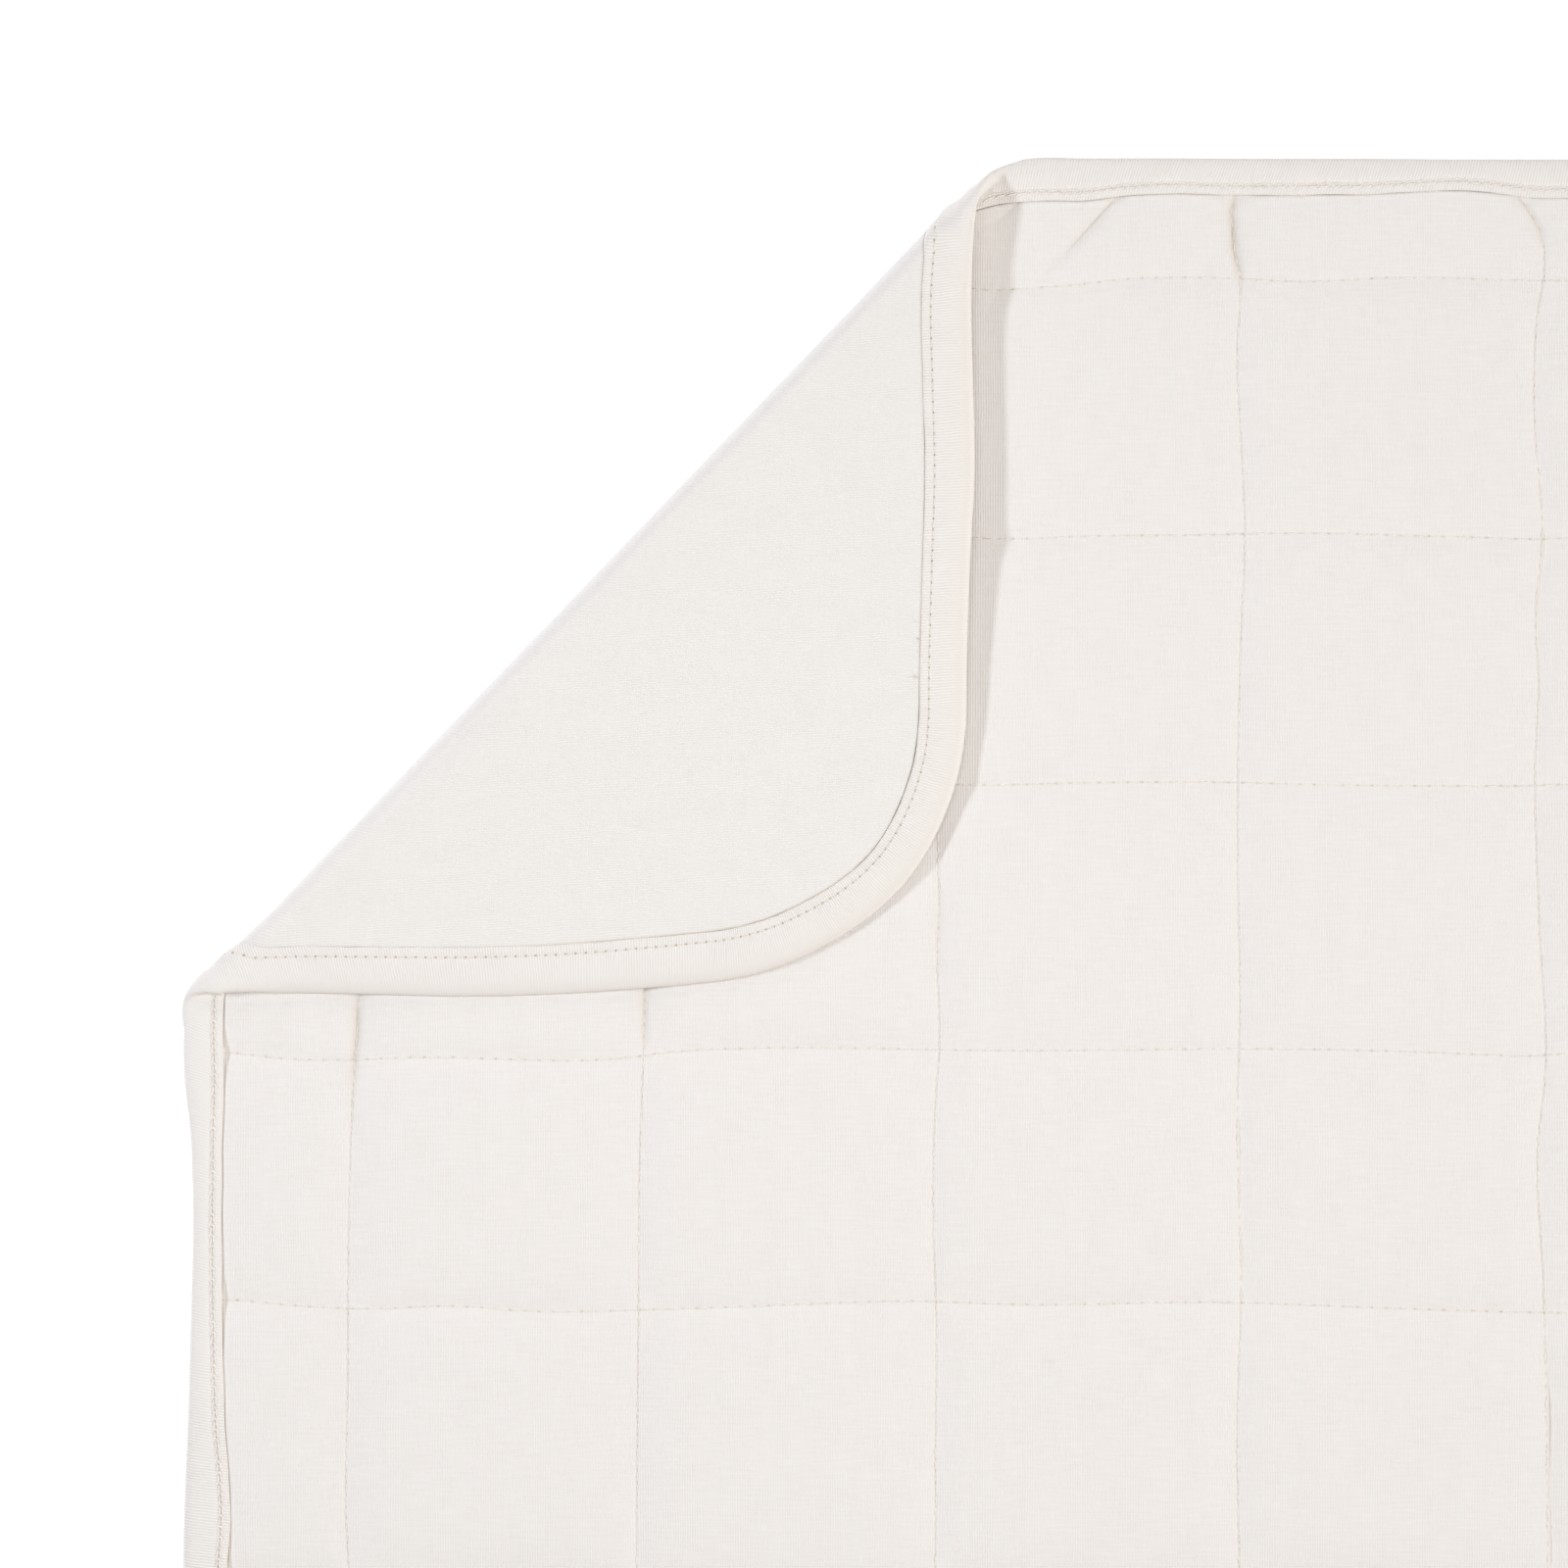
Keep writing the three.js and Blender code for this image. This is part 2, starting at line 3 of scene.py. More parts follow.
import bpy
import numpy as np
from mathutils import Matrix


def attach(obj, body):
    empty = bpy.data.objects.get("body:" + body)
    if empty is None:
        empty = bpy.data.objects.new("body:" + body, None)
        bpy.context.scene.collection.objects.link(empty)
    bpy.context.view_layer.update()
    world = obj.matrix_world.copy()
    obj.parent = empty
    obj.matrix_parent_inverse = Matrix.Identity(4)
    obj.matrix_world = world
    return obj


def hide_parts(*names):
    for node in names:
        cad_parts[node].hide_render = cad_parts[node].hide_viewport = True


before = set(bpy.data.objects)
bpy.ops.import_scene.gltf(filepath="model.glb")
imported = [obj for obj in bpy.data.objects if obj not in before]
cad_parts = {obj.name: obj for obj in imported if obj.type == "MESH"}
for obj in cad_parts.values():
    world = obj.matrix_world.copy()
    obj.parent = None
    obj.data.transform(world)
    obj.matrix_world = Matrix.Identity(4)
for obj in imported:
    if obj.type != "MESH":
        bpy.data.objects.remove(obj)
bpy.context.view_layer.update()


# View. The eye looks straight down on the head end of the blanket, with the folded corner in the
# middle, as in the photograph. Metres.
PICTURE_WIDTH = 0.4224
PICTURE_MIDDLE = (-0.2126, 0.3313)
EYE_HEIGHT = 1.5
FACE_HEIGHT = 0.003
FILM_WIDTH = 36

view = bpy.data.cameras.new("view_from_above")
view.sensor_width = FILM_WIDTH
view.lens = FILM_WIDTH * (EYE_HEIGHT - FACE_HEIGHT) / PICTURE_WIDTH
view_from_above = bpy.data.objects.new("view_from_above", view)
view_from_above.location = (*PICTURE_MIDDLE, EYE_HEIGHT)
bpy.context.scene.collection.objects.link(view_from_above)
bpy.context.scene.camera = view_from_above
bpy.context.scene.view_settings.view_transform = "Standard"


# Back panel. The plain side of the blanket, one piece of fine jersey cut to the whole outline. Its
# border goes in under the binding. It shows on the corner that is folded over, and from below.
# The cloth is laid out flat first, x to the right, y to the head edge and t up through it, in
# millimetres. Then the corner is rolled round and laid back.
MM = 0.001
WIDTH = 750
LENGTH = 1000
CORNER_RADIUS = 72
HALF_W = WIDTH / 2
HALF_L = LENGTH / 2
QUARTER = math.pi / 2 * CORNER_RADIUS
OUTLINE = 2 * (WIDTH + LENGTH) - 8 * CORNER_RADIUS + 4 * QUARTER

# Each side of the outline: where it starts, its heading in quarter turns, and its straight length
SIDES = [
    (HALF_W - CORNER_RADIUS, HALF_L, 2, WIDTH - 2 * CORNER_RADIUS),
    (-HALF_W, HALF_L - CORNER_RADIUS, 3, LENGTH - 2 * CORNER_RADIUS),
    (-HALF_W + CORNER_RADIUS, -HALF_L, 0, WIDTH - 2 * CORNER_RADIUS),
    (HALF_W, -HALF_L + CORNER_RADIUS, 1, LENGTH - 2 * CORNER_RADIUS),
]
FIRST_START = CORNER_RADIUS - HALF_W

# The uneven edge, walked from the middle of the head edge to the left and on round the blanket:
# how far along, how far the edge is drawn in, and how far in from it the binding's stitch row lies
EDGE_COLUMNS = ("along", "drawn_in", "row")
EDGE_ROWS = [
    (0, 0.3, 7.9), (12, 0.3, 8.0), (22, 0.3, 6.6), (33, 0.3, 6.0), (45, 0.2, 6.6), (56, 0.1, 7.3),
    (68, 0.1, 7.4), (91, 0.1, 7.5), (111, 0.0, 7.2), (121, 0.0, 7.9), (133, 0.0, 9.2), (143, -0.2, 9.3),
    (153, 0.9, 8.9), (168, 3.0, 10.5), (188, 3.5, 11.7),
    (215, 2.0, 11.9), (238, 0.6, 11.8), (265, 0.9, 11.2), (300, 0.5, 11.1), (328, -0.9, 11.0),
    (352, -1.8, 10.9), (386, -0.3, 11.2), (407, -0.4, 11.2), (430, -1.2, 11.2), (462, -1.5, 10.9),
    (488, -0.7, 10.8), (515, 1.3, 10.4), (540, 3.1, 9.9), (557, 4.0, 8.7), (568, 2.4, 7.0),
    (579, 0.6, 8.2), (591, 0.6, 8.5), (606, 2.2, 6.4), (624, 2.9, 5.6), (660, 2.3, 6.3), (684, 1.6, 7.7),
    (710, 0.6, 10.1), (728, 0.3, 9.4), (810, 1.3, 7.8), (940, 0.3, 8.7), (1080, 1.4, 7.6),
    (1220, 0.4, 8.4), (1330, 0.3, 8.8), (1480, 1.2, 7.6), (1690, 0.3, 8.8), (1860, 1.1, 8.0),
    (2050, 0.3, 8.6), (2280, 1.4, 7.5), (2480, 0.4, 8.7), (2690, 1.2, 7.8), (2890, 0.3, 8.5),
    (3050, 0.3, 8.4), (3210, 0.9, 7.5),
]
FRONT_LIP = 2.5
BACK_LIP = 2.75


def smooth_read(keys, values, at):
    """A row of given values, read smoothly in between."""
    slopes = np.gradient(values, keys)
    low = np.clip(np.searchsorted(keys, at, side="right") - 1, 0, len(keys) - 2)
    span = keys[low + 1] - keys[low]
    share = np.clip((at - keys[low]) / span, 0, 1)
    squared, cubed = share**2, share**3
    return (
        (2 * cubed - 3 * squared + 1) * values[low]
        + (cubed - 2 * squared + share) * span * slopes[low]
        + (3 * squared - 2 * cubed) * values[low + 1]
        + (cubed - squared) * span * slopes[low + 1]
    )


def read_edge(column, along):
    """One column of the edge table at places along the edge."""
    rows = np.array(EDGE_ROWS, float)
    keys = np.concatenate([rows[:, 0] + turn * OUTLINE for turn in (-1, 0, 1)])
    values = np.tile(rows[:, EDGE_COLUMNS.index(column)], 3)
    return smooth_read(keys, values, np.mod(along, OUTLINE))


def edge_line(along):
    """Points of the even outline at places along it, and the direction inwards there."""
    rest = np.mod(np.asarray(along, float) - FIRST_START, OUTLINE)
    found = np.zeros((4, *rest.shape))
    start = 0
    for x, y, quarters, length in SIDES:
        here = (rest >= start) & (rest < start + length + QUARTER)
        heading = quarters * math.pi / 2
        run = np.minimum(rest[here] - start, length)
        turned = heading + np.maximum(rest[here] - start - length, 0) / CORNER_RADIUS
        found[0, here] = x + math.cos(heading) * run + CORNER_RADIUS * (np.sin(turned) - math.sin(heading))
        found[1, here] = y + math.sin(heading) * run - CORNER_RADIUS * (np.cos(turned) - math.cos(heading))
        found[2, here] = -np.sin(turned)
        found[3, here] = np.cos(turned)
        start += length + QUARTER
    return found


def from_edge(along, depth):
    """Points of the flat cloth a depth in from the uneven edge."""
    x, y, in_x, in_y = edge_line(along)
    inset = read_edge("drawn_in", along) + depth
    return x + in_x * inset, y + in_y * inset


# How far before its start a side still takes a point, so that none falls between a corner and a side
NEAR_ENOUGH = 1e-6


def edge_place(x, y):
    """How far round the edge a point of the flat cloth lies, and how far in from the uneven edge."""
    along = np.zeros_like(x)
    depth = np.full_like(x, np.inf)
    start = FIRST_START
    for side_x, side_y, quarters, length in SIDES:
        heading = quarters * math.pi / 2
        run = (x - side_x) * math.cos(heading) + (y - side_y) * math.sin(heading)
        inward = (y - side_y) * math.cos(heading) - (x - side_x) * math.sin(heading)
        over = np.maximum(run - length, 0)
        rise = CORNER_RADIUS - inward
        in_corner = (over > 0) & (rise > 0)
        gap = np.where(in_corner, CORNER_RADIUS - np.hypot(over, rise), inward)
        fits = (run >= -NEAR_ENOUGH) & ((over == 0) | in_corner) & (gap < depth)
        bend = np.where(in_corner, np.arctan2(over, rise), 0)
        place = start + np.minimum(run, length) + CORNER_RADIUS * bend
        along = np.where(fits, place, along)
        depth = np.where(fits, gap, depth)
        start += length + QUARTER
    return along, depth - read_edge("drawn_in", along)


# The fold: a straight line across the top left corner, a roll of cloth, and the flap laid back
FOLD_TURN = math.radians(46.09)
OUT_X, OUT_Y = -math.sin(FOLD_TURN), math.cos(FOLD_TURN)
ALONG_X, ALONG_Y = -math.cos(FOLD_TURN), -math.sin(FOLD_TURN)
MIDDLE = 1.8
FOLD_RADIUS = 3.7
FOLD_START = 459 - FOLD_RADIUS - MIDDLE
ROLL = math.pi * FOLD_RADIUS
FOLD_DEPTH = 3.25

# How far the roll stands out more at its two ends: distance from the blanket's edge, and how much
LEFT_END = np.array([
    (0, 1.4), (3, 1.9), (5.5, 2.25), (8, 2.0), (10.5, 1.6), (12.5, 1.5), (14.5, 1.0), (16.5, 0.4),
    (19, 0.4), (21.5, 0.15), (23.5, 0.05), (26, -0.1), (36, 0.1), (50, 0),
])
HEAD_END = np.array([
    (0, -0.6), (4, -0.85), (5.5, -0.75), (7, -0.35), (8.3, 0.05), (10, 0.6), (12, 0.75), (14, 0.4),
    (16, 0.25), (18, 0.15), (25, 0.1), (36, 0),
])
SLIP = 3.15
SLANT = 0.0556
SHORTENING = 0.089
FLAP_AWAY = np.array([0, 40, 66, 84, 104, 120, 175, 240], float)
FLAP_LIFT = np.array([7.4, 7.3, 7.0, 6.1, 5.2, 4.3, 4.0, 3.8])
RESTING_LIFT = 3.8
DROOP = 85

# How far the flap's outer edge sinks to the cloth under it, over what width in from the edge, and
# how far past the roll that takes to begin
EDGE_SINK = 2.2
SINK_WIDTH = 9
SINK_START = 20


def soft_step(share):
    """0 before 0, 1 after 1, and an easy slope between."""
    share = np.clip(share, 0, 1)
    return share**2 * (3 - 2 * share)


def distance_out(x, y):
    """How far a point of the flat cloth lies beyond the start of the fold."""
    return OUT_X * x + OUT_Y * y - FOLD_START


def edge_sink(x, y, depth):
    """How far the cloth near the flap's outer edge sinks."""
    share = np.clip(1 - depth / SINK_WIDTH, 0, 1) ** 2
    return EDGE_SINK * share * soft_step((distance_out(x, y) - ROLL) / SINK_START)


def fold(x, y, t):
    """Where points of the flat cloth lie once the corner is folded over, in metres."""
    out = distance_out(x, y)
    along = ALONG_X * x + ALONG_Y * y
    outer = MIDDLE - t
    share = np.clip(out / ROLL, 0, 1)
    away = np.maximum(out - ROLL, 0)
    turn = math.pi * share
    left_end = y < HALF_L - 2 * CORNER_RADIUS
    ends = np.where(left_end, smooth_read(*LEFT_END.T, x + HALF_W), smooth_read(*HEAD_END.T, HALF_L - y))
    raised = soft_step((x + HALF_W) / DROOP)
    lift = RESTING_LIFT + (smooth_read(FLAP_AWAY, FLAP_LIFT, away) - RESTING_LIFT) * raised
    half = (RESTING_LIFT + (FLAP_LIFT[0] - RESTING_LIFT) * raised) / 2
    rolled = (FOLD_DEPTH + ends + outer) * np.sin(turn) - away * (1 - SHORTENING)
    new_out = FOLD_START + np.where(out > 0, rolled, out)
    new_along = along + SLIP * share + SLANT * away
    new_x = OUT_X * new_out + ALONG_X * new_along
    new_y = OUT_Y * new_out + ALONG_Y * new_along
    up = MIDDLE + np.where(away > 0, lift + outer, half - (half + outer) * np.cos(turn))
    return MM * np.stack([new_x, new_y, up], -1)


# A face of the flat mesh is kept as a row of this many corners, with its last one repeated
MOST_CORNERS = 24


def own_corners(face):
    """A face's corners once each, in order."""
    return list(dict.fromkeys(face))


def cut_cloth(points, faces, value, keep_both=True, reach=None):
    """Cuts the flat mesh where value passes 0. reach limits the cut to some of the faces."""
    value = np.where(np.abs(value) < 1e-6, 0, value)
    at_corners = value[faces]
    crossed = (at_corners.min(1) < 0) & (at_corners.max(1) > 0)
    kept = ~crossed & (keep_both | (at_corners.max(1) > 0))
    cut = crossed if reach is None else crossed & reach
    extra = []
    made = {}
    result = []
    for face in faces[cut].tolist():
        face = own_corners(face)
        inside, outside = [], []
        for a, b in zip(face, face[1:] + face[:1]):
            if value[a] >= 0:
                inside.append(a)
            if value[a] <= 0:
                outside.append(a)
            if value[a] * value[b] < 0:
                key = (min(a, b), max(a, b))
                if key not in made:
                    share = value[a] / (value[a] - value[b])
                    made[key] = len(points) + len(extra)
                    extra.append(points[a] + (points[b] - points[a]) * share)
                inside.append(made[key])
                outside.append(made[key])
        result.append(inside)
        if keep_both:
            result.append(outside)
    for face in faces[crossed & ~cut].tolist():
        face = own_corners(face)
        whole = []
        for a, b in zip(face, face[1:] + face[:1]):
            whole.append(a)
            if (min(a, b), max(a, b)) in made:
                whole.append(made[(min(a, b), max(a, b))])
        result.append(whole)
    if not result:
        return points, faces[kept]
    result = np.array([face + face[-1:] * (MOST_CORNERS - len(face)) for face in result])
    return np.vstack([points, extra]), np.vstack([faces[kept], result])


def line_cloth(x, y):
    """Flat mesh on crossing lines, whose points are given row by row."""
    tall, wide = x.shape
    number = np.arange(tall * wide).reshape(tall, wide)
    corners = [number[:-1, :-1], number[:-1, 1:], number[1:, 1:], number[1:, :-1]]
    corners += corners[-1:] * (MOST_CORNERS - 4)
    return np.stack([x.ravel(), y.ravel()], -1), np.stack([c.ravel() for c in corners], -1)


def cut_by_edge(points, faces, lip, insets, hem):
    """Cuts the cloth to its hem line, and puts lines in it beside the binding's inner edge."""
    along, depth = edge_place(*points.T)
    points, faces = cut_cloth(points, faces, depth - hem, keep_both=False)
    for inset in insets:
        along, depth = edge_place(*points.T)
        points, faces = cut_cloth(points, faces, depth - read_edge("row", along) - lip - inset)
    return points, faces


def cut_by_fold(points, faces, steps):
    """Puts lines in the cloth along the roll, so that it bends there, and drops unused points."""
    for step in range(steps + 1):
        points, faces = cut_cloth(points, faces, distance_out(*points.T) - ROLL * step / steps)
    used, faces = np.unique(faces, return_inverse=True)
    return points[used], [own_corners(face) for face in faces.reshape(-1, MOST_CORNERS).tolist()]


def shown_mesh(name, points, faces, material):
    """A piece of the blanket as a smooth mesh that moves with it."""
    mesh = bpy.data.meshes.new(name)
    mesh.from_pydata(points, [], faces)
    mesh.polygons.foreach_set("use_smooth", np.ones(len(mesh.polygons), bool))
    mesh.materials.append(material)
    piece = bpy.data.objects.new(name, mesh)
    bpy.context.scene.collection.objects.link(piece)
    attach(piece, "root")
    return piece


def corner_points(mesh):
    """For each corner of each face: its point's number and its face's number."""
    points = np.zeros(len(mesh.loops), np.int32)
    counts = np.zeros(len(mesh.polygons), np.int32)
    mesh.loops.foreach_get("vertex_index", points)
    mesh.polygons.foreach_get("loop_total", counts)
    return points, np.repeat(np.arange(len(counts)), counts)


def map_cloth(mesh, name, across, along):
    """Keeps a pair of cloth measures, in metres, for the material to read."""
    layer = mesh.uv_layers.new(name=name)
    layer.data.foreach_set("uv", np.stack([across, along], -1).astype(np.float32).ravel())


def cloth_piece(name, points, faces, under, over, clear, gap, material):
    """A closed sheet of cloth between two levels, folded with the corner."""
    count = len(points)
    x, y = points.T
    placed = np.vstack([fold(x, y, over), fold(x, y, under)])
    edges = {}
    for face in faces:
        for a, b in zip(face, face[1:] + face[:1]):
            edges[(a, b)] = True
    rim = [[b, a, a + count, b + count] for a, b in edges if (b, a) not in edges]
    below = [[i + count for i in reversed(face)] for face in faces]
    piece = shown_mesh(name, placed, faces + below + rim, material)
    corners, _ = corner_points(piece.data)
    map_cloth(piece.data, "knit", x[corners % count] * MM, y[corners % count] * MM)
    # The border measures: how far the cloth is clear of the binding's lip, and how strong the painted shade
    # under the lip is there
    map_cloth(piece.data, "border", clear[corners % count] * MM, gap[corners % count])
    return piece


def add_node(tree, kind, feeds=(), **settings):
    """Adds a node to a material, sets it up and joins what feeds it."""
    made = tree.nodes.new(kind)
    for setting, value in settings.items():
        setattr(made, setting, value)
    for socket, source in dict(feeds).items():
        if isinstance(source, bpy.types.NodeSocket):
            tree.links.new(source, made.inputs[socket])
        else:
            made.inputs[socket].default_value = source
    return made


def sums(tree, operation, *values):
    """One step of arithmetic on numbers in a material."""
    return add_node(tree, "ShaderNodeMath", dict(enumerate(values)), operation=operation).outputs[0]


def measures(tree, name):
    """The two cloth measures kept under a name, as numbers."""
    kept = add_node(tree, "ShaderNodeUVMap", uv_map=name).outputs[0]
    parts = add_node(tree, "ShaderNodeSeparateXYZ", {0: kept})
    return kept, parts.outputs[0], parts.outputs[1]


def streaks(tree, place, across, along, detail=2.0):
    """Noise drawn out more one way than the other: times a metre across and along. From -1 to 1."""
    scaled = add_node(tree, "ShaderNodeMapping", {"Vector": place, "Scale": (across, along, 1)}).outputs[0]
    noise = add_node(tree, "ShaderNodeTexNoise", {"Vector": scaled, "Scale": 1.0, "Detail": detail})
    return sums(tree, "MULTIPLY_ADD", noise.outputs[0], 2.0, -1.0)


def needle_holes(tree, name, wide, long, pitch):
    """1 at each needle hole of a stitched row, falling to 0 round it."""
    _, across, along = measures(tree, name)
    beside = sums(tree, "DIVIDE", across, wide)
    nearest = sums(tree, "SUBTRACT", sums(tree, "FRACT", sums(tree, "ADD", along, 0.5)), 0.5)
    ahead = sums(tree, "MULTIPLY", nearest, pitch / long)
    round_it = sums(tree, "ADD", sums(tree, "POWER", beside, 2.0), sums(tree, "POWER", ahead, 2.0))
    return sums(tree, "EXPONENT", sums(tree, "MULTIPLY", round_it, -1.0))


# How much of each colour a darker tone takes away: blue most, red least, so that darker places go warm,
# as light does that bounces about in folds of cream cotton. It warms the painted shade in holes, creases
# and under the lips, and the cloth's own darker threads alike.
SHADE = (0.82, 1.0, 1.28)
# How far out from under the lip the painted shade reaches
LIP_SHADE_WIDTH = 0.00035


def border_shade(tree):
    """Painted shade where the cloth goes in under the binding's lip: 1 there, falling to 0 beside it, times
    the shade's strength kept along the edge.
    """
    _, clear, gap = measures(tree, "border")
    share = sums(tree, "DIVIDE", sums(tree, "MAXIMUM", clear, 0.0), LIP_SHADE_WIDTH)
    fall = sums(tree, "EXPONENT", sums(tree, "MULTIPLY", sums(tree, "POWER", share, 1.5), -1.0))
    return sums(tree, "MULTIPLY", fall, gap)


def finish_cloth(tree, colour, tone, height, depth, fuzz):
    """Cloth surface: colour made lighter or darker by tone, relief from height, matt with a soft bloom."""
    change = [part * share for part, share in zip(colour, SHADE)]
    feeds = {0: sums(tree, "SUBTRACT", tone, 1.0), 1: change, 2: colour}
    toned = add_node(tree, "ShaderNodeVectorMath", feeds, operation="MULTIPLY_ADD").outputs[0]
    relief = add_node(tree, "ShaderNodeBump", {"Strength": 1.0, "Distance": depth, "Height": height})
    surface = add_node(tree, "ShaderNodeBsdfPrincipled", {"Base Color": toned, "Normal": relief.outputs[0]})
    surface.inputs["Roughness"].default_value = 0.92
    surface.inputs["Specular IOR Level"].default_value = 0.2
    surface.inputs["Sheen Weight"].default_value = fuzz
    surface.inputs["Sheen Roughness"].default_value = 0.6
    ending = add_node(tree, "ShaderNodeOutputMaterial")
    tree.links.new(surface.outputs[0], ending.inputs[0])


def new_material(name):
    """An empty material, and its node tree."""
    material = bpy.data.materials.new(name)
    material.use_nodes = True
    material.node_tree.nodes.clear()
    return material, material.node_tree


WALE_PITCH = 0.000673
COURSE_PITCH = 0.00052
KNIT_DEPTH = 0.00003
JERSEY_FUZZ = 0.12


def jersey_relief(tree, slubs, loops):
    """Fine jersey: upright wales of small chevron loops, with slubs. Returns relief and tone; the tone has
    the slubs and painted shade between the loops.
    """
    place, across, along = measures(tree, "knit")
    drift = sums(tree, "MULTIPLY", streaks(tree, place, 90, 50), 0.0005)
    wale = sums(tree, "MULTIPLY", sums(tree, "ADD", across, drift), 2 * math.pi / WALE_PITCH)
    rib = sums(tree, "COSINE", wale)
    course = sums(tree, "MULTIPLY", along, 2 * math.pi / COURSE_PITCH)
    loop = sums(tree, "COSINE", sums(tree, "MULTIPLY_ADD", rib, 1.3, course))
    knit = sums(tree, "MULTIPLY_ADD", loop, 0.3, rib)
    slub = streaks(tree, place, 130, 1500, 3.0)
    patchy = sums(tree, "MULTIPLY_ADD", streaks(tree, place, 160, 70), 0.45, 0.8)
    knit = sums(tree, "MULTIPLY", knit, patchy)
    relief = sums(tree, "MULTIPLY_ADD", slub, 0.9, knit)
    tone = sums(tree, "MULTIPLY_ADD", slub, slubs, 1.0)
    tone = sums(tree, "MULTIPLY_ADD", streaks(tree, place, 14, 14), 0.006, tone)
    # Painted shade in the hollows between the loops, painted light on their crowns
    tone = sums(tree, "MULTIPLY_ADD", knit, loops, tone)
    return relief, tone


PLAIN_JERSEY = (0.872, 0.838, 0.800)
plain_jersey, nodes = new_material("plain_jersey")
relief, tone = jersey_relief(nodes, 0.032, 0.034)
# Painted shade where the cloth goes in under the binding's lip
tone = sums(nodes, "MULTIPLY_ADD", border_shade(nodes), -0.3, tone)
finish_cloth(nodes, PLAIN_JERSEY, tone, relief, KNIT_DEPTH, JERSEY_FUZZ)

BACK_THICK = 0.9
BACK_HEM_UNDER = 1.0
HEM_THICK = 0.5
HEM_LINE = 2.7
BACK_GRID = 8
SOFT_WAVE = 0.22

# How the cloth's outer face goes in under the binding's lip: how far in from the lip, and its level
BACK_TUCK = np.array([(-0.8, 1.0), (-0.4, 0.75), (-0.15, 0.34), (0.05, 0.08), (0.2, 0.02), (0.5, 0.0)])

BACK_LINES = (-0.8, -0.4, -0.15, 0.05, 0.2, 0.5, 2, 4)
BACK_ROLL_STEPS = 16
columns = np.arange(-HALF_W, HALF_W + 1, BACK_GRID)
rows = np.arange(-HALF_L, HALF_L + 1, BACK_GRID)
points, faces = line_cloth(*np.meshgrid(columns, rows))
points, faces = cut_by_edge(points, faces, BACK_LIP, BACK_LINES, HEM_LINE)
points, faces = cut_by_fold(points, faces, BACK_ROLL_STEPS)
x, y = points.T
along, depth = edge_place(x, y)
clear = depth - read_edge("row", along) - BACK_LIP
held = np.interp(clear, BACK_TUCK[:, 0], BACK_TUCK[:, 1])
soft = np.sin(x / 23 + y / 31) * np.sin(y / 27 - x / 41 + 1) + 0.5 * np.sin(x / 11 - y / 14 + 2)
on_flap = distance_out(x, y) > ROLL
soft = SOFT_WAVE * soft * (1 - held) * on_flap
under = BACK_HEM_UNDER * held + np.where(on_flap, soft, 0)
over = BACK_THICK + (BACK_HEM_UNDER + HEM_THICK - BACK_THICK) * held + 0.4 * soft
sunk = edge_sink(x, y, depth)

# The painted shade under the lip is stronger along the head edge than along the left one
LEFT_LIP_SHADE = 0.3
gap = LEFT_LIP_SHADE + (1 - LEFT_LIP_SHADE) * soft_step((470 - along) / 30)
back_panel = cloth_piece("plain_back", points, faces, under + sunk, over + sunk, clear, gap, plain_jersey)
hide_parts("back_panel")


# Front panel. Fine jersey with its thin soft layer, quilted through in a grid of rectangles: each
# seam is a narrow valley, the cloth puffs up beside it and stays nearly flat between. Its border is
# held down under the binding, and small creases run out from there.
UPRIGHT_SEAMS = (-329.9, -251.5, -171.5, -89.9, -8.8, 71.5, 151.5, 231.5, 311.5)
CROSS_SEAMS = (
    466.5, 397.8, 331.0, 259.2, 190.3, 118.5, 49.0, -20.5, -90.0, -159.5, -229.0, -298.5, -368.0, -437.5,
)

# The bends of each seam where it shows: places along it, and how far it is off its line there.
# Beyond them it wanders a little.
UPRIGHT_BENDS = {
    0: [(140, -0.8), (170, -0.3), (210, 0), (226, 0.3), (241, 0.8), (257, 1.6), (268, 2.6)],
    1: [(130, -0.8), (190, -0.3), (230, 0), (257, 1.0), (273, 1.3)],
    2: [(150, -0.3), (189, 0), (212, -0.8), (244, -0.3), (260, 0.8), (288, 0.3), (300, 0.8)],
    3: [
        (124, 0), (155, -0.5), (195, 0.5), (240, -0.5), (274, 0.3), (305, -0.3), (338, -0.3), (370, 0.5),
        (401, 1.6), (425, 0.5), (450, -0.5), (462, 0.3), (470, 0.0), (475, -1.3), (480, -1.4),
        (485, -2.1), (489, -1.2),
    ],
    4: [
        (124, 2.1), (164, 1.6), (195, 1.0), (235, -0.5), (251, 1.3), (297, -0.3), (338, -1.3), (358, -0.3),
        (377, -1.3), (397, 0.5), (433, -1.6), (457, -0.8), (472, 1.3), (480, 0.3), (484, -1.8), (489, -5.4),
    ],
}
CROSS_BENDS = {
    0: [
        (-154, -2.1), (-140, -1.1), (-131, -0.3), (-122, 0.8), (-99, 1.3), (-71, 0.2), (-48, 1.3),
        (-11, 0.5),
    ],
    1: [(-149, -0.5), (-131, 0.3), (-103, 0.6), (-75, 1.1), (-38, 0.3), (-11, -0.5)],
    2: [(-155, 0.0), (-118, 0.8), (-99, 0.8), (-62, 0.0), (-44, -0.2), (-16, -0.2)],
    3: [
        (-360, -0.5), (-349, -1.8), (-337, -2.3), (-313, -1.6), (-254, -1.6), (-242, 0.0), (-230, 0.6),
        (-150, 0.2), (-75, 0.6), (-40, -0.2), (-16, -1.3),
    ],
    4: [
        (-360, 1.9), (-349, 0.8), (-325, -0.5), (-301, 0.3), (-284, -1.0), (-242, -0.5), (-206, 0.8),
        (-182, 1.6), (-147, 0.6), (-99, 1.3), (-52, -0.2), (-28, -1.0), (-4, -1.6),
    ],
}
BEND_END = 30
WANDER = 0.8
WANDER_PITCH = 190
